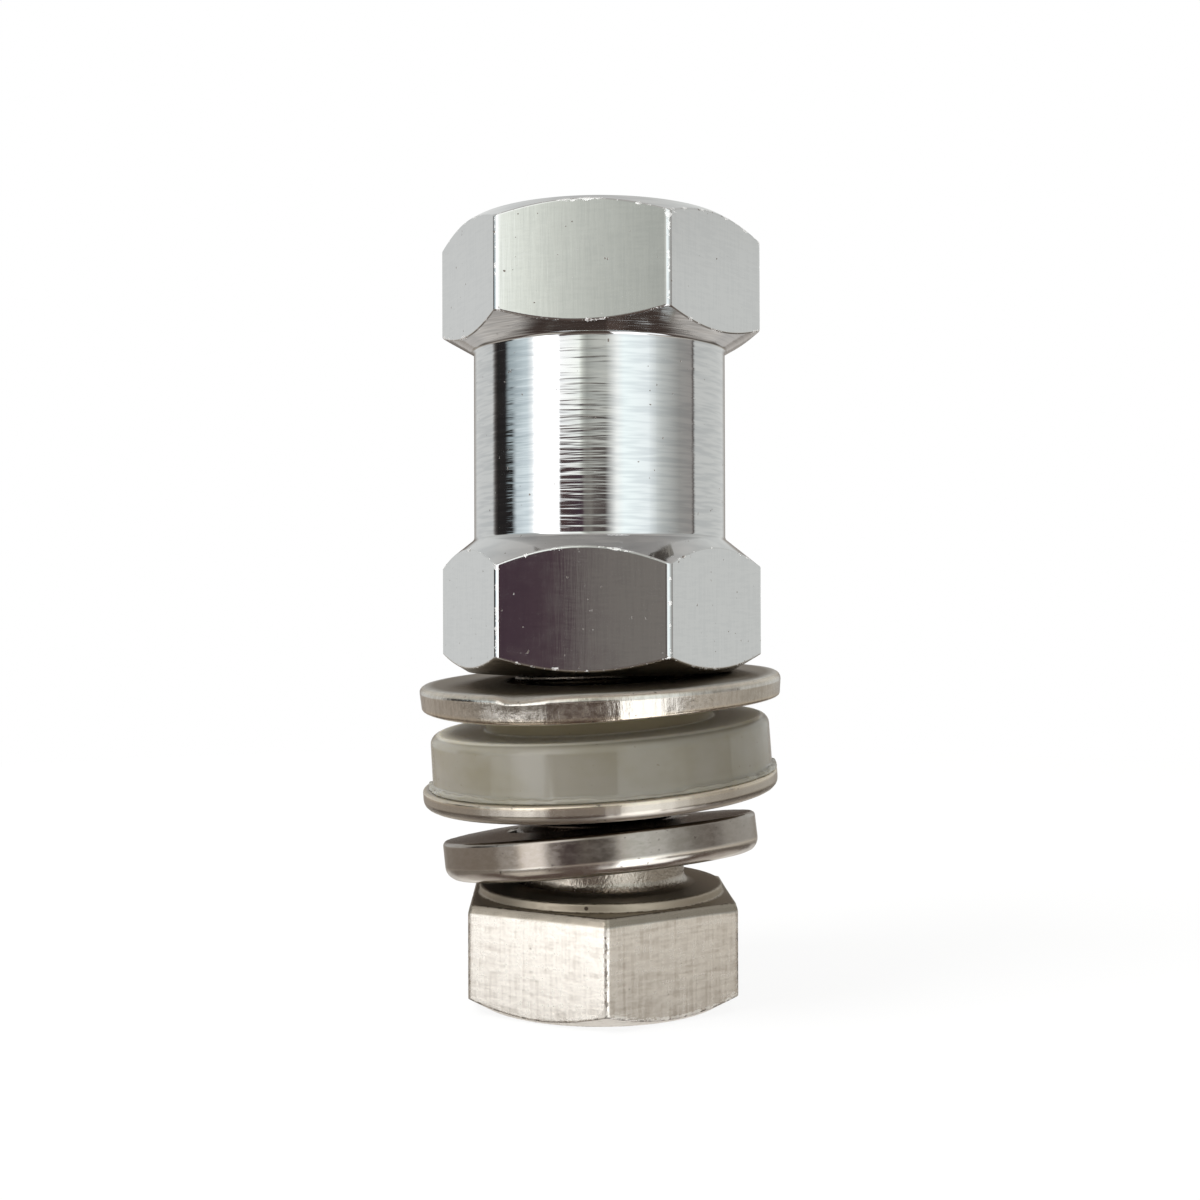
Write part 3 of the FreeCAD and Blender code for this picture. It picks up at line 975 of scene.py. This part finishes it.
@dataclass(frozen=True)
class ChromePlate:
    """Chromium plate over turned brass bar: a neutral mirror that shows the lathe's lines and small pits."""

    colour: str = "#D2D3D3"
    groove_colour: str = "#A2A6AA"
    pit_colour: str = "#6A5443"
    # Painted highlight: the white that the nicks on the hex edges are painted with.
    nick_glint_colour: str = "#FFFFFF"
    line_pitch: float = 0.34
    line_depth: float = 0.0125
    torn_pitch: float = 0.19
    torn_depth: float = 0.006
    grain_depth: float = 0.0018
    polish_depth: float = 0.0007
    wave_depth: float = 0.003
    pit_depth: float = 0.01
    chip_reach: float = 0.22
    nick_reach: float = 0.16
    nick_radius: float = 7.6

    def build(self) -> Surface:
        """Mirror plate whose turned parts carry lines, with chips along its edges."""
        surface = Surface("chrome_plated_turned_brass")
        turned, edge = surface.mark(Mark.TURNED), surface.mark(Mark.EDGE)
        flat = surface.rest(turned)
        # Lathe lines spread what the waist mirrors up and down, which makes the ends of its dark and
        # white bands ragged. They are drawn coarser than the real ones, which would not show from here.
        lines = surface.noise((6.0, 6.0, self.line_pitch), 2.0, 0.6, lines=True)
        # Shorter torn lines between them, a little greyer, keep the turned parts from looking like glass.
        torn = surface.noise((2.2, 2.2, self.torn_pitch), 1.5, 0.55, lines=True)
        # Level grain and upright polishing marks give the flats faint streaks, coarser than real ones.
        grain = surface.noise((1.3, 1.3, 0.16), 2.0, 0.55)
        upright = surface.noise((0.16, 0.16, 2.6), 2.0, 0.6)
        # Slow waves bend the borders of what is mirrored.
        wave = surface.noise((2.6, 2.6, 3.4), 1.0, 0.5)
        # Pits and chips are dark spots where the plate is gone. Nicks are rough spots on the hex edges, and
        # their white colour is a painted highlight: glints painted on.
        specks = surface.fade(surface.noise((0.24, 0.24, 0.24), 1.0, 0.5), 0.77, 0.79)
        chip_noise = surface.noise((0.55, 0.55, 0.55), 4.0, 0.72)
        chip_reach = surface.times(surface.fade(chip_noise, 0.6, 0.75), self.chip_reach)
        chips = surface.math("LESS_THAN", edge, chip_reach)
        nick_noise = surface.noise((0.9, 0.9, 0.5), 4.0, 0.7)
        nick_reach = surface.times(surface.fade(nick_noise, 0.5, 0.68), self.nick_reach)
        on_corner = surface.math("GREATER_THAN", surface.radius, self.nick_radius)
        nicks_and_glints = surface.times(surface.math("LESS_THAN", edge, nick_reach), on_corner)
        pits = surface.greater(surface.times(chips, flat), specks)
        groove = surface.times(turned, surface.fade(torn, 0.62, 0.34, 0.0, 0.36))
        rubbed = surface.times(flat, surface.fade(surface.math("ADD", grain, upright), 1.1, 0.84, 0.0, 0.1))
        # Haze softens the mirror unevenly, more so in the pits and nicks.
        haze = surface.fade(surface.noise((1.4, 1.4, 1.0), 4.0, 0.6), 0.35, 0.75, 0.04, 0.1)
        worn = surface.greater(surface.times(pits, 0.35), surface.times(nicks_and_glints, 0.55))
        surface.set(
            Base_Color=surface.coats(
                self.colour, (groove, self.groove_colour), (rubbed, self.groove_colour),
                (nicks_and_glints, self.nick_glint_colour), (surface.times(pits, 0.75), self.pit_colour),
            ),
            Metallic=1.0,
            Roughness=surface.greater(haze, worn),
            Normal=surface.relief(
                (surface.times(turned, lines), self.line_depth),
                (surface.times(turned, torn), self.torn_depth),
                (surface.times(flat, grain), self.grain_depth),
                (surface.times(flat, upright), self.polish_depth),
                (wave, self.wave_depth),
                (surface.rest(surface.greater(specks, nicks_and_glints)), self.pit_depth),
            ),
        )
        return surface


@dataclass(frozen=True)
class BrushedSteel:
    """Stainless steel bar with belt-brushed flats: bright satin, browner where it was only turned."""

    colour: str = "#ECE8E1"
    shade_colour: str = "#CEC8C0"
    band_colour: str = "#989084"
    face_colour: str = "#A3998A"
    neck_colour: str = "#A39C92"
    thread_colour: str = "#8A837A"
    # Dark colour of grime, and also painted shade on the thread inside the washer stack.
    grime_and_shade_colour: str = "#4E443C"
    band_start: float = 5.3
    face_start: float = 5.72
    neck_start: float = 6.3
    thread_start: float = 8.3
    stack_top: float = 15.0
    nick_place: tuple[float, float, float] = (0.03, -6.7, 6.0)
    scratch_depth: float = 0.0042
    cloud_depth: float = 0.005
    line_depth: float = 0.004
    sparkle_depth: float = 0.035

    def build(self) -> Surface:
        """Crossing scratches on the flats, turned lines elsewhere, rubbed corners and one nick."""
        surface = Surface("brushed_stainless_steel")
        turned, edge = surface.mark(Mark.TURNED), surface.mark(Mark.EDGE)
        flat = surface.rest(turned)
        # Crossing belt scratches give the flats their woven satin look. Drawn coarser than real.
        upright = surface.noise((0.2, 0.2, 5.0), 3.0, 0.6)
        level = surface.noise((2.4, 2.4, 0.26), 3.0, 0.6)
        weave = surface.math("ADD", surface.times(upright, 0.5), surface.times(level, 0.5))
        # Turned lines, coarser than real too, streak the bearing face and the chamfer.
        lines = surface.noise((2.5, 2.5, 0.16), 4.0, 0.65, lines=True)
        # Clouds mottle the satin, and sparkle breaks up the neck's shine.
        cloud = surface.noise((0.7, 0.7, 0.5), 4.0, 0.65)
        sparkle = surface.noise((0.17, 0.17, 0.26), 2.0, 0.6)
        tone = surface.math("ADD", surface.times(weave, 0.7), surface.times(cloud, 0.3))
        # From the head up: rolled band, bearing face, neck, then thread, which is painted dark inside the
        # washer stack as painted shade.
        band = surface.fade(surface.height, self.band_start - 0.1, self.band_start + 0.08)
        face = surface.fade(surface.height, self.face_start, self.face_start + 0.03)
        neck = surface.fade(surface.height, self.neck_start, self.neck_start + 0.25)
        thread = surface.fade(surface.height, self.thread_start, self.thread_start + 0.3)
        clear_of_stack_shade = surface.fade(surface.height, self.stack_top, self.stack_top + 1.0)
        # Grime shows as dark specks on the flats, chips on the edges and one nick on the bearing face.
        speck = surface.fade(surface.noise((0.24, 0.24, 0.17), 2.0, 0.5), 0.73, 0.77)
        away = surface.add("VectorMath", {0: surface.point, 1: self.nick_place}, operation="DISTANCE")
        nick = surface.fade(away.outputs["Value"], 0.13, 0.08)
        chips = surface.times(surface.math("LESS_THAN", edge, 0.07),
                              surface.fade(surface.noise((0.35, 0.35, 0.35), 3.0, 0.65), 0.5, 0.58))
        grime = surface.greater(nick, surface.times(speck, surface.times(flat, 0.7)))
        grime = surface.greater(grime, surface.times(chips, 0.6))
        # Rubbed corners are dotted with matt spots. Turned parts are matt too, but glossier from the neck up.
        rubbed = surface.noise((0.4, 0.4, 0.22), 2.0, 0.6)
        corner = surface.times(surface.fade(edge, 0.3, 0.12), surface.fade(rubbed, 0.4, 0.56, 0.1, 0.5))
        rough = surface.greater(surface.fade(weave, 0.35, 0.7, 0.22, 0.29), corner)
        surface.set(
            Base_Color=surface.coats(
                self.colour, (surface.fade(tone, 0.56, 0.36), self.shade_colour), (band, self.band_colour),
                (face, self.face_colour), (neck, self.neck_colour),
                (thread, surface.blend(clear_of_stack_shade, self.grime_and_shade_colour, self.thread_colour)),
                (grime, self.grime_and_shade_colour),
            ),
            Metallic=1.0,
            Roughness=surface.greater(rough, surface.times(turned, surface.fade(neck, 0, 1, 0.42, 0.15))),
            Normal=surface.relief(
                (surface.times(flat, weave), self.scratch_depth),
                (surface.times(flat, cloud), self.cloud_depth),
                (surface.times(turned, lines), self.line_depth),
                (surface.times(neck, sparkle), self.sparkle_depth),
            ),
        )
        return surface


@dataclass(frozen=True)
class StampedSteel:
    """Stainless sheet, blanked in a press and tumbled: satin, with an upright torn band on a sheared side."""

    name: str = "stamped_stainless_sheet"
    colour: str = "#C6C2BB"
    shade_colour: str = "#ABA59C"
    face_colour: str = "#7F7363"
    rim_colour: str = "#D8CBB6"
    pit_colour: str = "#4E453D"
    streak_width: float = 0.26
    streak_depth: float = 0.014
    streak_tone: float = 0.5
    gloss: tuple[float, float] = (0.12, 0.22)
    face_roughness: float = 0.38

    def build(self, lean: Lean, middle: float) -> Surface:
        """Faces with faint scratches and a side with upright streaks that the punch left.

        Args:
            lean: how the washer lies.
            middle: height of its middle in millimetres.

        Returns:
            The finished surface.
        """
        surface = Surface(self.name, lean, middle)
        side, edge = surface.mark(Mark.SIDE), surface.mark(Mark.EDGE)
        face = surface.rest(side)
        # Torn streaks, fine and broad, break the sheared side's reflections into upright slivers.
        streaks = surface.noise((self.streak_width, self.streak_width, 1.3), 3.0, 0.6)
        broad = surface.noise((0.8, 0.8, 1.2), 3.0, 0.55)
        # Long scratches, drawn coarser than real, dull the faces. Mottling gives all of it a tumbled skin.
        scratches = surface.noise((0.16, 1.8, 1.0), 3.0, 0.7)
        mottle = surface.noise((0.5, 0.5, 0.35), 4.0, 0.62)
        torn = surface.math("ADD", streaks, broad)
        skin = surface.add("Mix", {0: side, 2: surface.times(scratches, 0.2), 3: torn}).outputs[0]
        tone = surface.math("ADD", surface.times(mottle, 0.5), surface.times(streaks, 0.5))
        # The rims are rubbed bright, with a few dark pits.
        rubbed = surface.times(surface.fade(edge, 0.3, 0.1), surface.fade(mottle, 0.3, 0.55, 0.4, 1.0))
        pits = surface.times(surface.fade(edge, 0.3, 0.15),
                             surface.fade(surface.noise((0.3, 0.3, 0.2), 2.0, 0.5), 0.68, 0.72))
        surface.set(
            Base_Color=surface.coats(
                self.colour, (surface.fade(tone, 0.58, 0.4, 0.0, self.streak_tone), self.shade_colour),
                (surface.times(face, surface.fade(edge, 0.3, 0.9)), self.face_colour),
                (surface.times(rubbed, 0.7), self.rim_colour), (surface.times(pits, 0.7), self.pit_colour),
            ),
            Metallic=1.0,
            Roughness=surface.greater(surface.fade(mottle, 0.3, 0.7, *self.gloss),
                                      surface.times(face, self.face_roughness)),
            Normal=surface.relief((skin, self.streak_depth), (mottle, 0.4 * self.streak_depth)),
        )
        return surface


@dataclass(frozen=True)
class SpringSteel:
    """Tumbled stainless spring wire: brownish satin with level drawing lines and a painted highlight on its
    lower corner.
    """

    colour: str = "#98918A"
    dark_colour: str = "#918A82"
    # Painted highlight on the rolled lower corner.
    lower_highlight_colour: str = "#DAD5CD"
    speck_colour: str = "#5C5148"
    line_depth: float = 0.0005
    mottle_depth: float = 0.001
    hollow_depth: float = 0.003

    def build(self, lean: Lean, middle: float) -> Surface:
        """Level drawing lines with faint mottling, and a painted highlight on the rolled lower corner.

        Args:
            lean: how the washer lies.
            middle: height of its middle in millimetres.

        Returns:
            The finished surface.
        """
        surface = Surface("tumbled_spring_steel", lean, middle)
        # Drawing lines, coarser than real, and shallow hollows make the reflections waver.
        lines = surface.noise((2.2, 2.2, 0.16), 3.0, 0.6)
        hollows = surface.noise((1.3, 1.3, 0.8), 2.0, 0.5)
        # Mottling clouds the satin, with dark specks in it.
        mottle = surface.noise((0.5, 0.5, 0.25), 4.0, 0.6)
        specks = surface.fade(surface.noise((0.2, 0.2, 0.16), 1.0, 0.5), 0.72, 0.75)
        # The rolled lower corner is painted bright, a painted highlight along its rounding.
        below = surface.math("LESS_THAN", surface.height, -0.1)
        rubbed = surface.times(surface.fade(surface.mark(Mark.EDGE), 0.8, 0.6), below)
        surface.set(
            Base_Color=surface.coats(
                self.colour, (surface.fade(mottle, 0.6, 0.4), self.dark_colour), (rubbed, self.lower_highlight_colour),
                (surface.times(specks, 0.6), self.speck_colour),
            ),
            Metallic=1.0,
            Roughness=surface.fade(mottle, 0.3, 0.7, 0.17, 0.23),
            Normal=surface.relief((lines, self.line_depth), (mottle, self.mottle_depth),
                                  (hollows, self.hollow_depth)),
        )
        return surface


@dataclass(frozen=True)
class MouldedNylon:
    """Natural nylon, injection moulded: milky olive-grey, a little translucent, with a soft gloss."""

    colour: str = "#7E7A70"
    deep_colour: str = "#767162"
    rim_colour: str = "#8B887C"
    # Painted light: the paler colour of the flange's upper face, which lies in shade between the washers.
    painted_light_top_colour: str = "#D2CEC0"
    boss_colour: str = "#A0957A"
    mote_colour: str = "#5F5847"
    skin_depth: float = 0.0012
    sink_depth: float = 0.004
    scatter: tuple[float, float, float] = (1.4, 1.3, 0.9)

    def build(self, lean: Lean, middle: float, flange_top: float) -> Surface:
        """Light scatters a millimetre or so inside, and fine scuffs break up the gloss.

        Args:
            lean: how the washer lies.
            middle: height of its middle in millimetres.
            flange_top: height of the flange's upper face above the middle.

        Returns:
            The finished surface.
        """
        surface = Surface("moulded_natural_nylon", lean, middle)
        edge = surface.mark(Mark.EDGE)
        # Clouds make the milky body uneven, with a few dark motes in it.
        cloud = surface.noise((4.0, 4.0, 2.6), 3.0, 0.5)
        motes = surface.fade(surface.noise((0.3, 0.3, 0.2), 1.0, 0.5), 0.75, 0.78)
        # A finely uneven skin and slow sink marks soften the highlights, and level scuffs dull them.
        skin = surface.noise((0.4, 0.4, 0.4), 3.0, 0.6)
        sinks = surface.noise((3.0, 3.0, 1.6), 1.0)
        scuff = surface.noise((1.1, 1.1, 0.1), 3.0, 0.6)
        # The flange's upper face is duller than its side, and painted paler as painted light where it lies in
        # shade between the washers. The boss is browner.
        top = surface.fade(surface.height, flange_top - 0.12, flange_top)
        boss = surface.fade(surface.height, flange_top + 0.02, flange_top + 0.1)
        dull = surface.fade(surface.height, flange_top - 0.12, flange_top + 0.05, 0.0, 0.4)
        surface.set(
            Base_Color=surface.coats(
                self.colour, (surface.fade(cloud, 0.35, 0.7), self.deep_colour),
                (surface.fade(edge, 0.5, 0.05, 0.0, 0.3), self.rim_colour), (top, self.painted_light_top_colour),
                (boss, self.boss_colour), (surface.times(motes, 0.5), self.mote_colour),
            ),
            Roughness=surface.greater(surface.fade(scuff, 0.35, 0.7, 0.07, 0.13), dull),
            IOR=1.53,
            Specular_IOR_Level=surface.fade(surface.height, flange_top - 0.12, flange_top + 0.05, 0.5, 0.12),
            Subsurface_Weight=0.35,
            Subsurface_Radius=tuple(depth * MM for depth in self.scatter),
            Subsurface_Scale=1.0,
            Normal=surface.relief((skin, self.skin_depth), (sinks, self.sink_depth)),
        )
        return surface


# Ramps round the room that the chrome mirrors. Each stop is a bearing in degrees, from the camera's azimuth
# towards +X, and the colour that the metal shows there.
BACK_LEFT = ((-175, "#4A423C"), (-164, "#85807B"), (-150, "#BCBDBC"), (-113, "#C1C2C1"))
BACK_RIGHT = ((43, "#E9EFF0"), (57, "#B7BAB8"), (76, "#91908D"), (91.5, "#8F8B88"), (92.5, "#463E3C"),
              (94, "#4B4442"), (95, "#BCBDBB"), (150, "#BEBFBD"), (164, "#85807B"), (175, "#4A423C"))
SHADOW = ((-111, "#8A8886"), (-108.5, "#4A4644"), (-105, "#262423"), (-85, "#232121"))
SHORT_SHADOW = ((-111, "#8A8886"), (-108.5, "#4A4644"), (-105, "#262423"), (-94, "#282627"))
GLASS = ((-81, "#C4CDD1"), (-67, "#D6E0E4"), (-60, "#FFFFFF"), (-36.5, "#FFFFFF"))
DIM_GLASS = ((-89, "#98A3A7"), (-68, "#C2CDD1"), (-60, "#FFFFFF"), (-36.5, "#FFFFFF"))
LOW_FRONT = ((-35.5, "#4B3C3A"), (-17, "#40323A"), (-15.2, "#44363C"), (-14.4, "#5A4F50"),
             (-13.6, "#6C6763"), (-8, "#736E69"), (-5, "#5A5350"), (5, "#4A4341"), (15, "#F0F2F0"),
             (22, "#F2FBFB"))
HIGH_FRONT = ((-18, "#F6F9F3"), (-16.4, "#DADDD4"), (-14.5, "#BCBEB7"), (-11, "#A2A49E"), (-4, "#B2B3AD"),
              (6, "#BABBB5"), (16, "#F0F2F0"), (22, "#F2FBFB"))
FLOOR = ((-180, "#F4F2EE"), (-165, "#D5D1CC"), (-145, "#A39E99"), (-118, "#8E8883"), (-98, "#4A3F3A"),
         (-82, "#4A3F3A"), (-73, "#ABA59D"), (-40, "#ABA59D"), (-34, "#4A3F3A"), (11.5, "#4A3F3A"),
         (13, "#FFFFFF"), (68, "#FFFFFF"), (76, "#4A3F3A"), (98, "#4A3F3A"), (118, "#8E8883"),
         (145, "#A39E99"), (165, "#D5D1CC"))
TABLE = ((-166, "#A8A4A0"), (-152, "#A5A29F"), (-143, "#5E5852"), (-113, "#68625C"), (-60, "#69635D"),
         (-37, "#69635D"), (-35, "#544A46"), (11.5, "#544A46"), (13, "#FFFFFF"), (43, "#FFFFFF"),
         (47, "#68635D"), (75, "#5E5852"), (143, "#57514C"), (152, "#A9A6A3"), (166, "#A8A4A0"))
SKIRTING = ((-168, "#A8A4A0"), (-158, "#857E76"), (-113, "#9C948C"), (-80, "#A39C94"), (-72, "#FFFFFF"),
            (-36.5, "#FFFFFF"), (-35.5, "#A0978E"), (11.5, "#A0978E"), (12.5, "#FFFFFF"), (46, "#FFFFFF"),
            (60, "#C4BEB6"), (95, "#A7A199"), (130, "#7F7A73"), (158, "#76706A"), (168, "#A8A4A0"))
SILL = ((-168, "#A8A4A0"), (-158, "#857E76"), (-140, "#A39C94"), (-80, "#9C948C"), (-58, "#A9A29A"),
        (-54, "#E8E4DE"), (-50, "#FFFFFF"), (-36.5, "#FFFFFF"), (-35.5, "#4B3C3A"), (11.5, "#5C5350"),
        (12.5, "#F0F2F0"), (47, "#F0F0EC"), (57, "#BDB8B0"), (90, "#A39E96"), (140, "#A39E96"),
        (158, "#857E76"), (168, "#A8A4A0"))
UPPER = (
    ((-150, "#BCBDBC"), (-90, "#A9AAA8"), (-60, "#A9AAA8"), (-57, "#FFFFFF"), (-36.5, "#FFFFFF"))
    + HIGH_FRONT
    + ((43, "#E9EFF0"), (57, "#B7BAB8"), (76, "#A09F9C"), (150, "#BBBCBA"))
)
# Each row holds between two elevations in degrees, and blends into the next over the gap between them.
ROOM_ROWS = (
    (-90, -62, ((0, "#4A3F3A"),)),
    (-52, -32, FLOOR),
    (-25, -15.4, TABLE),
    (-14, -10.5, SKIRTING),
    (-8.5, -5, SILL),
    (-2.4, 4.5, BACK_LEFT + SHADOW + GLASS + LOW_FRONT + BACK_RIGHT),
    (8, 12, BACK_LEFT + SHORT_SHADOW + DIM_GLASS + HIGH_FRONT + BACK_RIGHT),
    (18, 34, UPPER),
    (66, 90, ((0, "#A29E9B"),)),
)


@dataclass(frozen=True)
class Bright:
    """A part of the room that is brighter than white, which makes its reflection a hard white patch.

    Its share rises from 0 to 1 between the first two limits, and falls back between the last two.
    Bearings are from the camera's azimuth, and both they and the elevations are in degrees.
    """

    bearings: tuple[float, float, float, float]
    elevations: tuple[float, float, float, float]


WINDOW = Bright((-63, -56, -36.5, -35.5), (-15.4, -13, 24, 32))
TABLE_TOP = Bright((13, 14, 42, 44), (-91, -90, -14, -12))


@dataclass
class Studio:
    """The camera that took the photograph, a pale floor, a soft lamp and what the chrome mirrors."""

    azimuth: float = 6.69
    distance: float = 84.36
    height: float = 21.26
    lens: float = 45.55
    sensor: float = 36.0
    rise: float = 0.0066
    roll: float = -0.0029
    floor_reach: float = 150.0
    floor_drop: float = 0.02
    floor_colour: str = "#F6F6F4"
    floor_glow: float = 0.88
    lamp_place: tuple[float, float, float] = (-220.0, -160.0, 300.0)
    lamp_aim: tuple[float, float, float] = (0.0, 0.0, 20.0)
    lamp_width: float = 220.0
    lamp_power: float = 1.3
    plain_colour: str = "#EAEAE8"
    mirror_gain: float = 0.55
    bright_gain: float = 0.9

    def place_camera(self) -> None:
        """Stand the camera at its azimuth and height, looking a little up and level but for its roll."""
        azimuth = math.radians(self.azimuth)
        camera = bpy.data.objects.new("camera", bpy.data.cameras.new("camera"))
        bpy.context.scene.collection.objects.link(camera)
        camera.location = (
            self.distance * math.sin(azimuth) * MM, -self.distance * math.cos(azimuth) * MM, self.height * MM)
        forward = Vector((
            -math.sin(azimuth) * math.cos(self.rise),
            math.cos(azimuth) * math.cos(self.rise),
            math.sin(self.rise),
        ))
        camera.rotation_mode = "QUATERNION"
        camera.rotation_quaternion = forward.to_track_quat("-Z", "Y") @ Quaternion((0, 0, 1), self.roll)
        camera.data.sensor_width = self.sensor
        camera.data.lens = self.lens
        camera.data.clip_start = 0.002
        camera.data.clip_end = 10.0
        bpy.context.scene.camera = camera

    def lay_floor(self) -> None:
        """Pale round floor that keeps a share of the object's shadow, and that mirrors don't see."""
        angles = np.linspace(0, FULL_TURN, 97)
        radius = np.array([0.0, 0.3, 1.0])[:, None] * self.floor_reach + np.zeros_like(angles)
        points = around(radius, np.full_like(radius, -self.floor_drop), angles)
        floor = mesh_object("floor", [Patch(points, {})])
        surface = Surface("matt_white_board")
        path = surface.add("LightPath")
        surface.set(Base_Color=linear(self.floor_colour), Roughness=0.9)
        glow = surface.add("Emission", {"Color": linear("#FFFFFF"), "Strength": 1.0}).outputs[0]
        share = surface.times(path.outputs["Is Camera Ray"], self.floor_glow)
        shaded = surface.add("MixShader", {0: share, 1: surface.shader.outputs[0], 2: glow}).outputs[0]
        mirrored = surface.greater(path.outputs["Is Glossy Ray"], path.outputs["Is Transmission Ray"])
        clear = surface.add("BsdfTransparent").outputs[0]
        mixed = surface.add("MixShader", {0: mirrored, 1: shaded, 2: clear}).outputs[0]
        output = next(node for node in surface.tree.nodes if node.type == "OUTPUT_MATERIAL")
        surface.tree.links.new(mixed, output.inputs["Surface"])
        surface.dress(floor)

    def hang_lamp(self) -> None:
        """One large soft lamp up on the left, which shines on matt surfaces and casts the shadow."""
        light = bpy.data.lights.new("soft_lamp", "AREA")
        light.shape = "DISK"
        light.size = self.lamp_width * MM
        light.energy = self.lamp_power
        lamp = bpy.data.objects.new("soft_lamp", light)
        bpy.context.scene.collection.objects.link(lamp)
        lamp.location = Vector(self.lamp_place) * MM
        lamp.rotation_mode = "QUATERNION"
        lamp.rotation_quaternion = (Vector(self.lamp_aim) * MM - lamp.location).to_track_quat("-Z", "Y")
        lamp.visible_glossy = False

    def paint_surroundings(self) -> None:
        """The room that bright metal mirrors, as a function of direction alone.

        The colours are those that the chrome shows. Each row is a ramp round the room between two
        elevations, and rows blend where they leave a gap. The window on the left and the table top on
        the right are brighter than white. Matt surfaces get one plain level.
        """
        world = bpy.data.worlds.new("studio_surroundings")
        bpy.context.scene.world = world
        world.use_nodes = True
        world.cycles.sampling_method = "NONE"
        tree = world.node_tree
        tree.nodes.clear()
        parts = add_node(tree, "SeparateXYZ", {0: add_node(tree, "TexCoord").outputs["Generated"]}).outputs
        bearing = arithmetic(tree, "ARCTAN2", parts["X"], arithmetic(tree, "MULTIPLY", parts["Y"], -1.0))
        rise = arithmetic(tree, "ARCSINE", parts["Z"])
        turn = add_node(tree, "MapRange", {0: bearing, 1: -math.pi, 2: math.pi, 3: 0.0, 4: 1.0}).outputs[0]

        def step(value: bpy.types.NodeSocket, start: float, end: float) -> bpy.types.NodeSocket:
            """Rise from 0 at start to 1 at end, both in degrees."""
            limits = {1: math.radians(start), 2: math.radians(end)}
            return add_node(tree, "MapRange", {0: value, **limits}).outputs[0]

        def over(share: Any, low: Any, high: Any) -> bpy.types.NodeSocket:
            """Mix two colours, each a socket or an sRGB hex colour."""
            low, high = (linear(item) if isinstance(item, str) else item for item in (low, high))
            return add_node(tree, "Mix", {0: share, 6: low, 7: high}, data_type="RGBA").outputs[2]

        def share_of(part: Bright) -> bpy.types.NodeSocket:
            """Share of a bright part: 1 inside it and 0 outside."""
            share = 1.0
            for value, limits, zero in ((bearing, part.bearings, self.azimuth), (rise, part.elevations, 0.0)):
                first, second, third, fourth = (limit + zero for limit in limits)
                for edge in (step(value, first, second), step(value, fourth, third)):
                    share = arithmetic(tree, "MULTIPLY", share, edge)
            return share

        mirrored, reached = None, 0.0
        for low, high, stops in ROOM_ROWS:
            ramp = add_node(tree, "ValToRGB", {0: turn})
            placed = [(((angle + self.azimuth + 180) % 360) / 360, colour) for angle, colour in stops]
            set_ramp(ramp, sorted(placed))
            row = ramp.outputs[0]
            mirrored = row if mirrored is None else over(step(rise, reached, low), mirrored, row)
            reached = high
        bright = arithmetic(tree, "MAXIMUM", share_of(WINDOW), share_of(TABLE_TOP))
        path = add_node(tree, "LightPath").outputs
        glossy = arithmetic(tree, "MAXIMUM", path["Is Glossy Ray"], path["Is Transmission Ray"])
        colour = over(path["Is Camera Ray"], over(glossy, self.plain_colour, mirrored), "#FFFFFF")
        extra = arithmetic(tree, "MULTIPLY_ADD", bright, self.bright_gain, self.mirror_gain)
        level = arithmetic(tree, "MULTIPLY_ADD", glossy, extra, 1.0)
        glow = add_node(tree, "Background", {"Color": colour, "Strength": level}).outputs[0]
        add_node(tree, "OutputWorld", {"Surface": glow})

    def build(self) -> None:
        """Set up everything that isn't the object."""
        bpy.context.scene.view_settings.view_transform = "Standard"
        self.place_camera()
        self.lay_floor()
        self.hang_lamp()
        self.paint_surroundings()


def fit(piece: bpy.types.Object, node: str, body: Body) -> None:
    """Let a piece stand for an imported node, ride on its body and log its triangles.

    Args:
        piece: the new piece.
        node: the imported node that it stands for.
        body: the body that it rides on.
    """
    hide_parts(node)
    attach(piece, body.value)
    triangles = sum(len(face.vertices) - 2 for face in piece.data.polygons)
    LOG.info("%s stands for %s: %d triangles", piece.name, node, triangles)


def main() -> None:
    """Build the studio and the six pieces, from the bolt's head up."""
    logging.basicConfig(level=logging.INFO, format="%(name)s: %(message)s")
    Studio().build()
    thread = Thread()

    bolt = HexBolt().build(thread)
    BrushedSteel().build().dress(bolt)
    fit(bolt, "hex_bolt", Body.BOLT)

    lock_washer = LockWasher()
    spring, middle = lock_washer.build()
    SpringSteel().build(lock_washer.lean, middle).dress(spring)
    fit(spring, "lock_washer", Body.WASHERS)

    lower_washer = FlatWasher("thin_flat_washer", "lower_washer", radius=9.79, thickness=1.0,
                              hole_radius=5.15, lean=Lean(4.17, 127.0), draft=0.0,
                              rounds=(0.55, 0.15), seed=3)
    thin, middle = lower_washer.build()
    tumbled = StampedSteel("thin_stainless_sheet", colour="#B9B3AA", streak_depth=0.003, streak_tone=0.15,
                           gloss=(0.2, 0.26))
    tumbled.build(lower_washer.lean, middle).dress(thin)
    fit(thin, "lower_washer", Body.WASHERS)

    shoulder_washer = ShoulderWasher()
    nylon, middle = shoulder_washer.build()
    MouldedNylon().build(shoulder_washer.lean, middle, shoulder_washer.flange_top).dress(nylon)
    fit(nylon, "insulator", Body.WASHERS)

    upper_washer = FlatWasher("thick_flat_washer", "upper_washer", radius=10.0, thickness=1.28,
                              hole_radius=5.2, lean=Lean(3.25, 141.7), draft=5.0, rounds=(0.14, 0.34), seed=8,
                              crown=0.04, dent=Dent(azimuth=-21.0))
    thick, middle = upper_washer.build()
    StampedSteel().build(upper_washer.lean, middle).dress(thick)
    fit(thick, "upper_washer", Body.WASHERS)

    coupling = CouplingNut().build(thread)
    ChromePlate().build().dress(coupling)
    fit(coupling, "coupling_nut", Body.COUPLER)


if __name__ == "__main__":
    main()
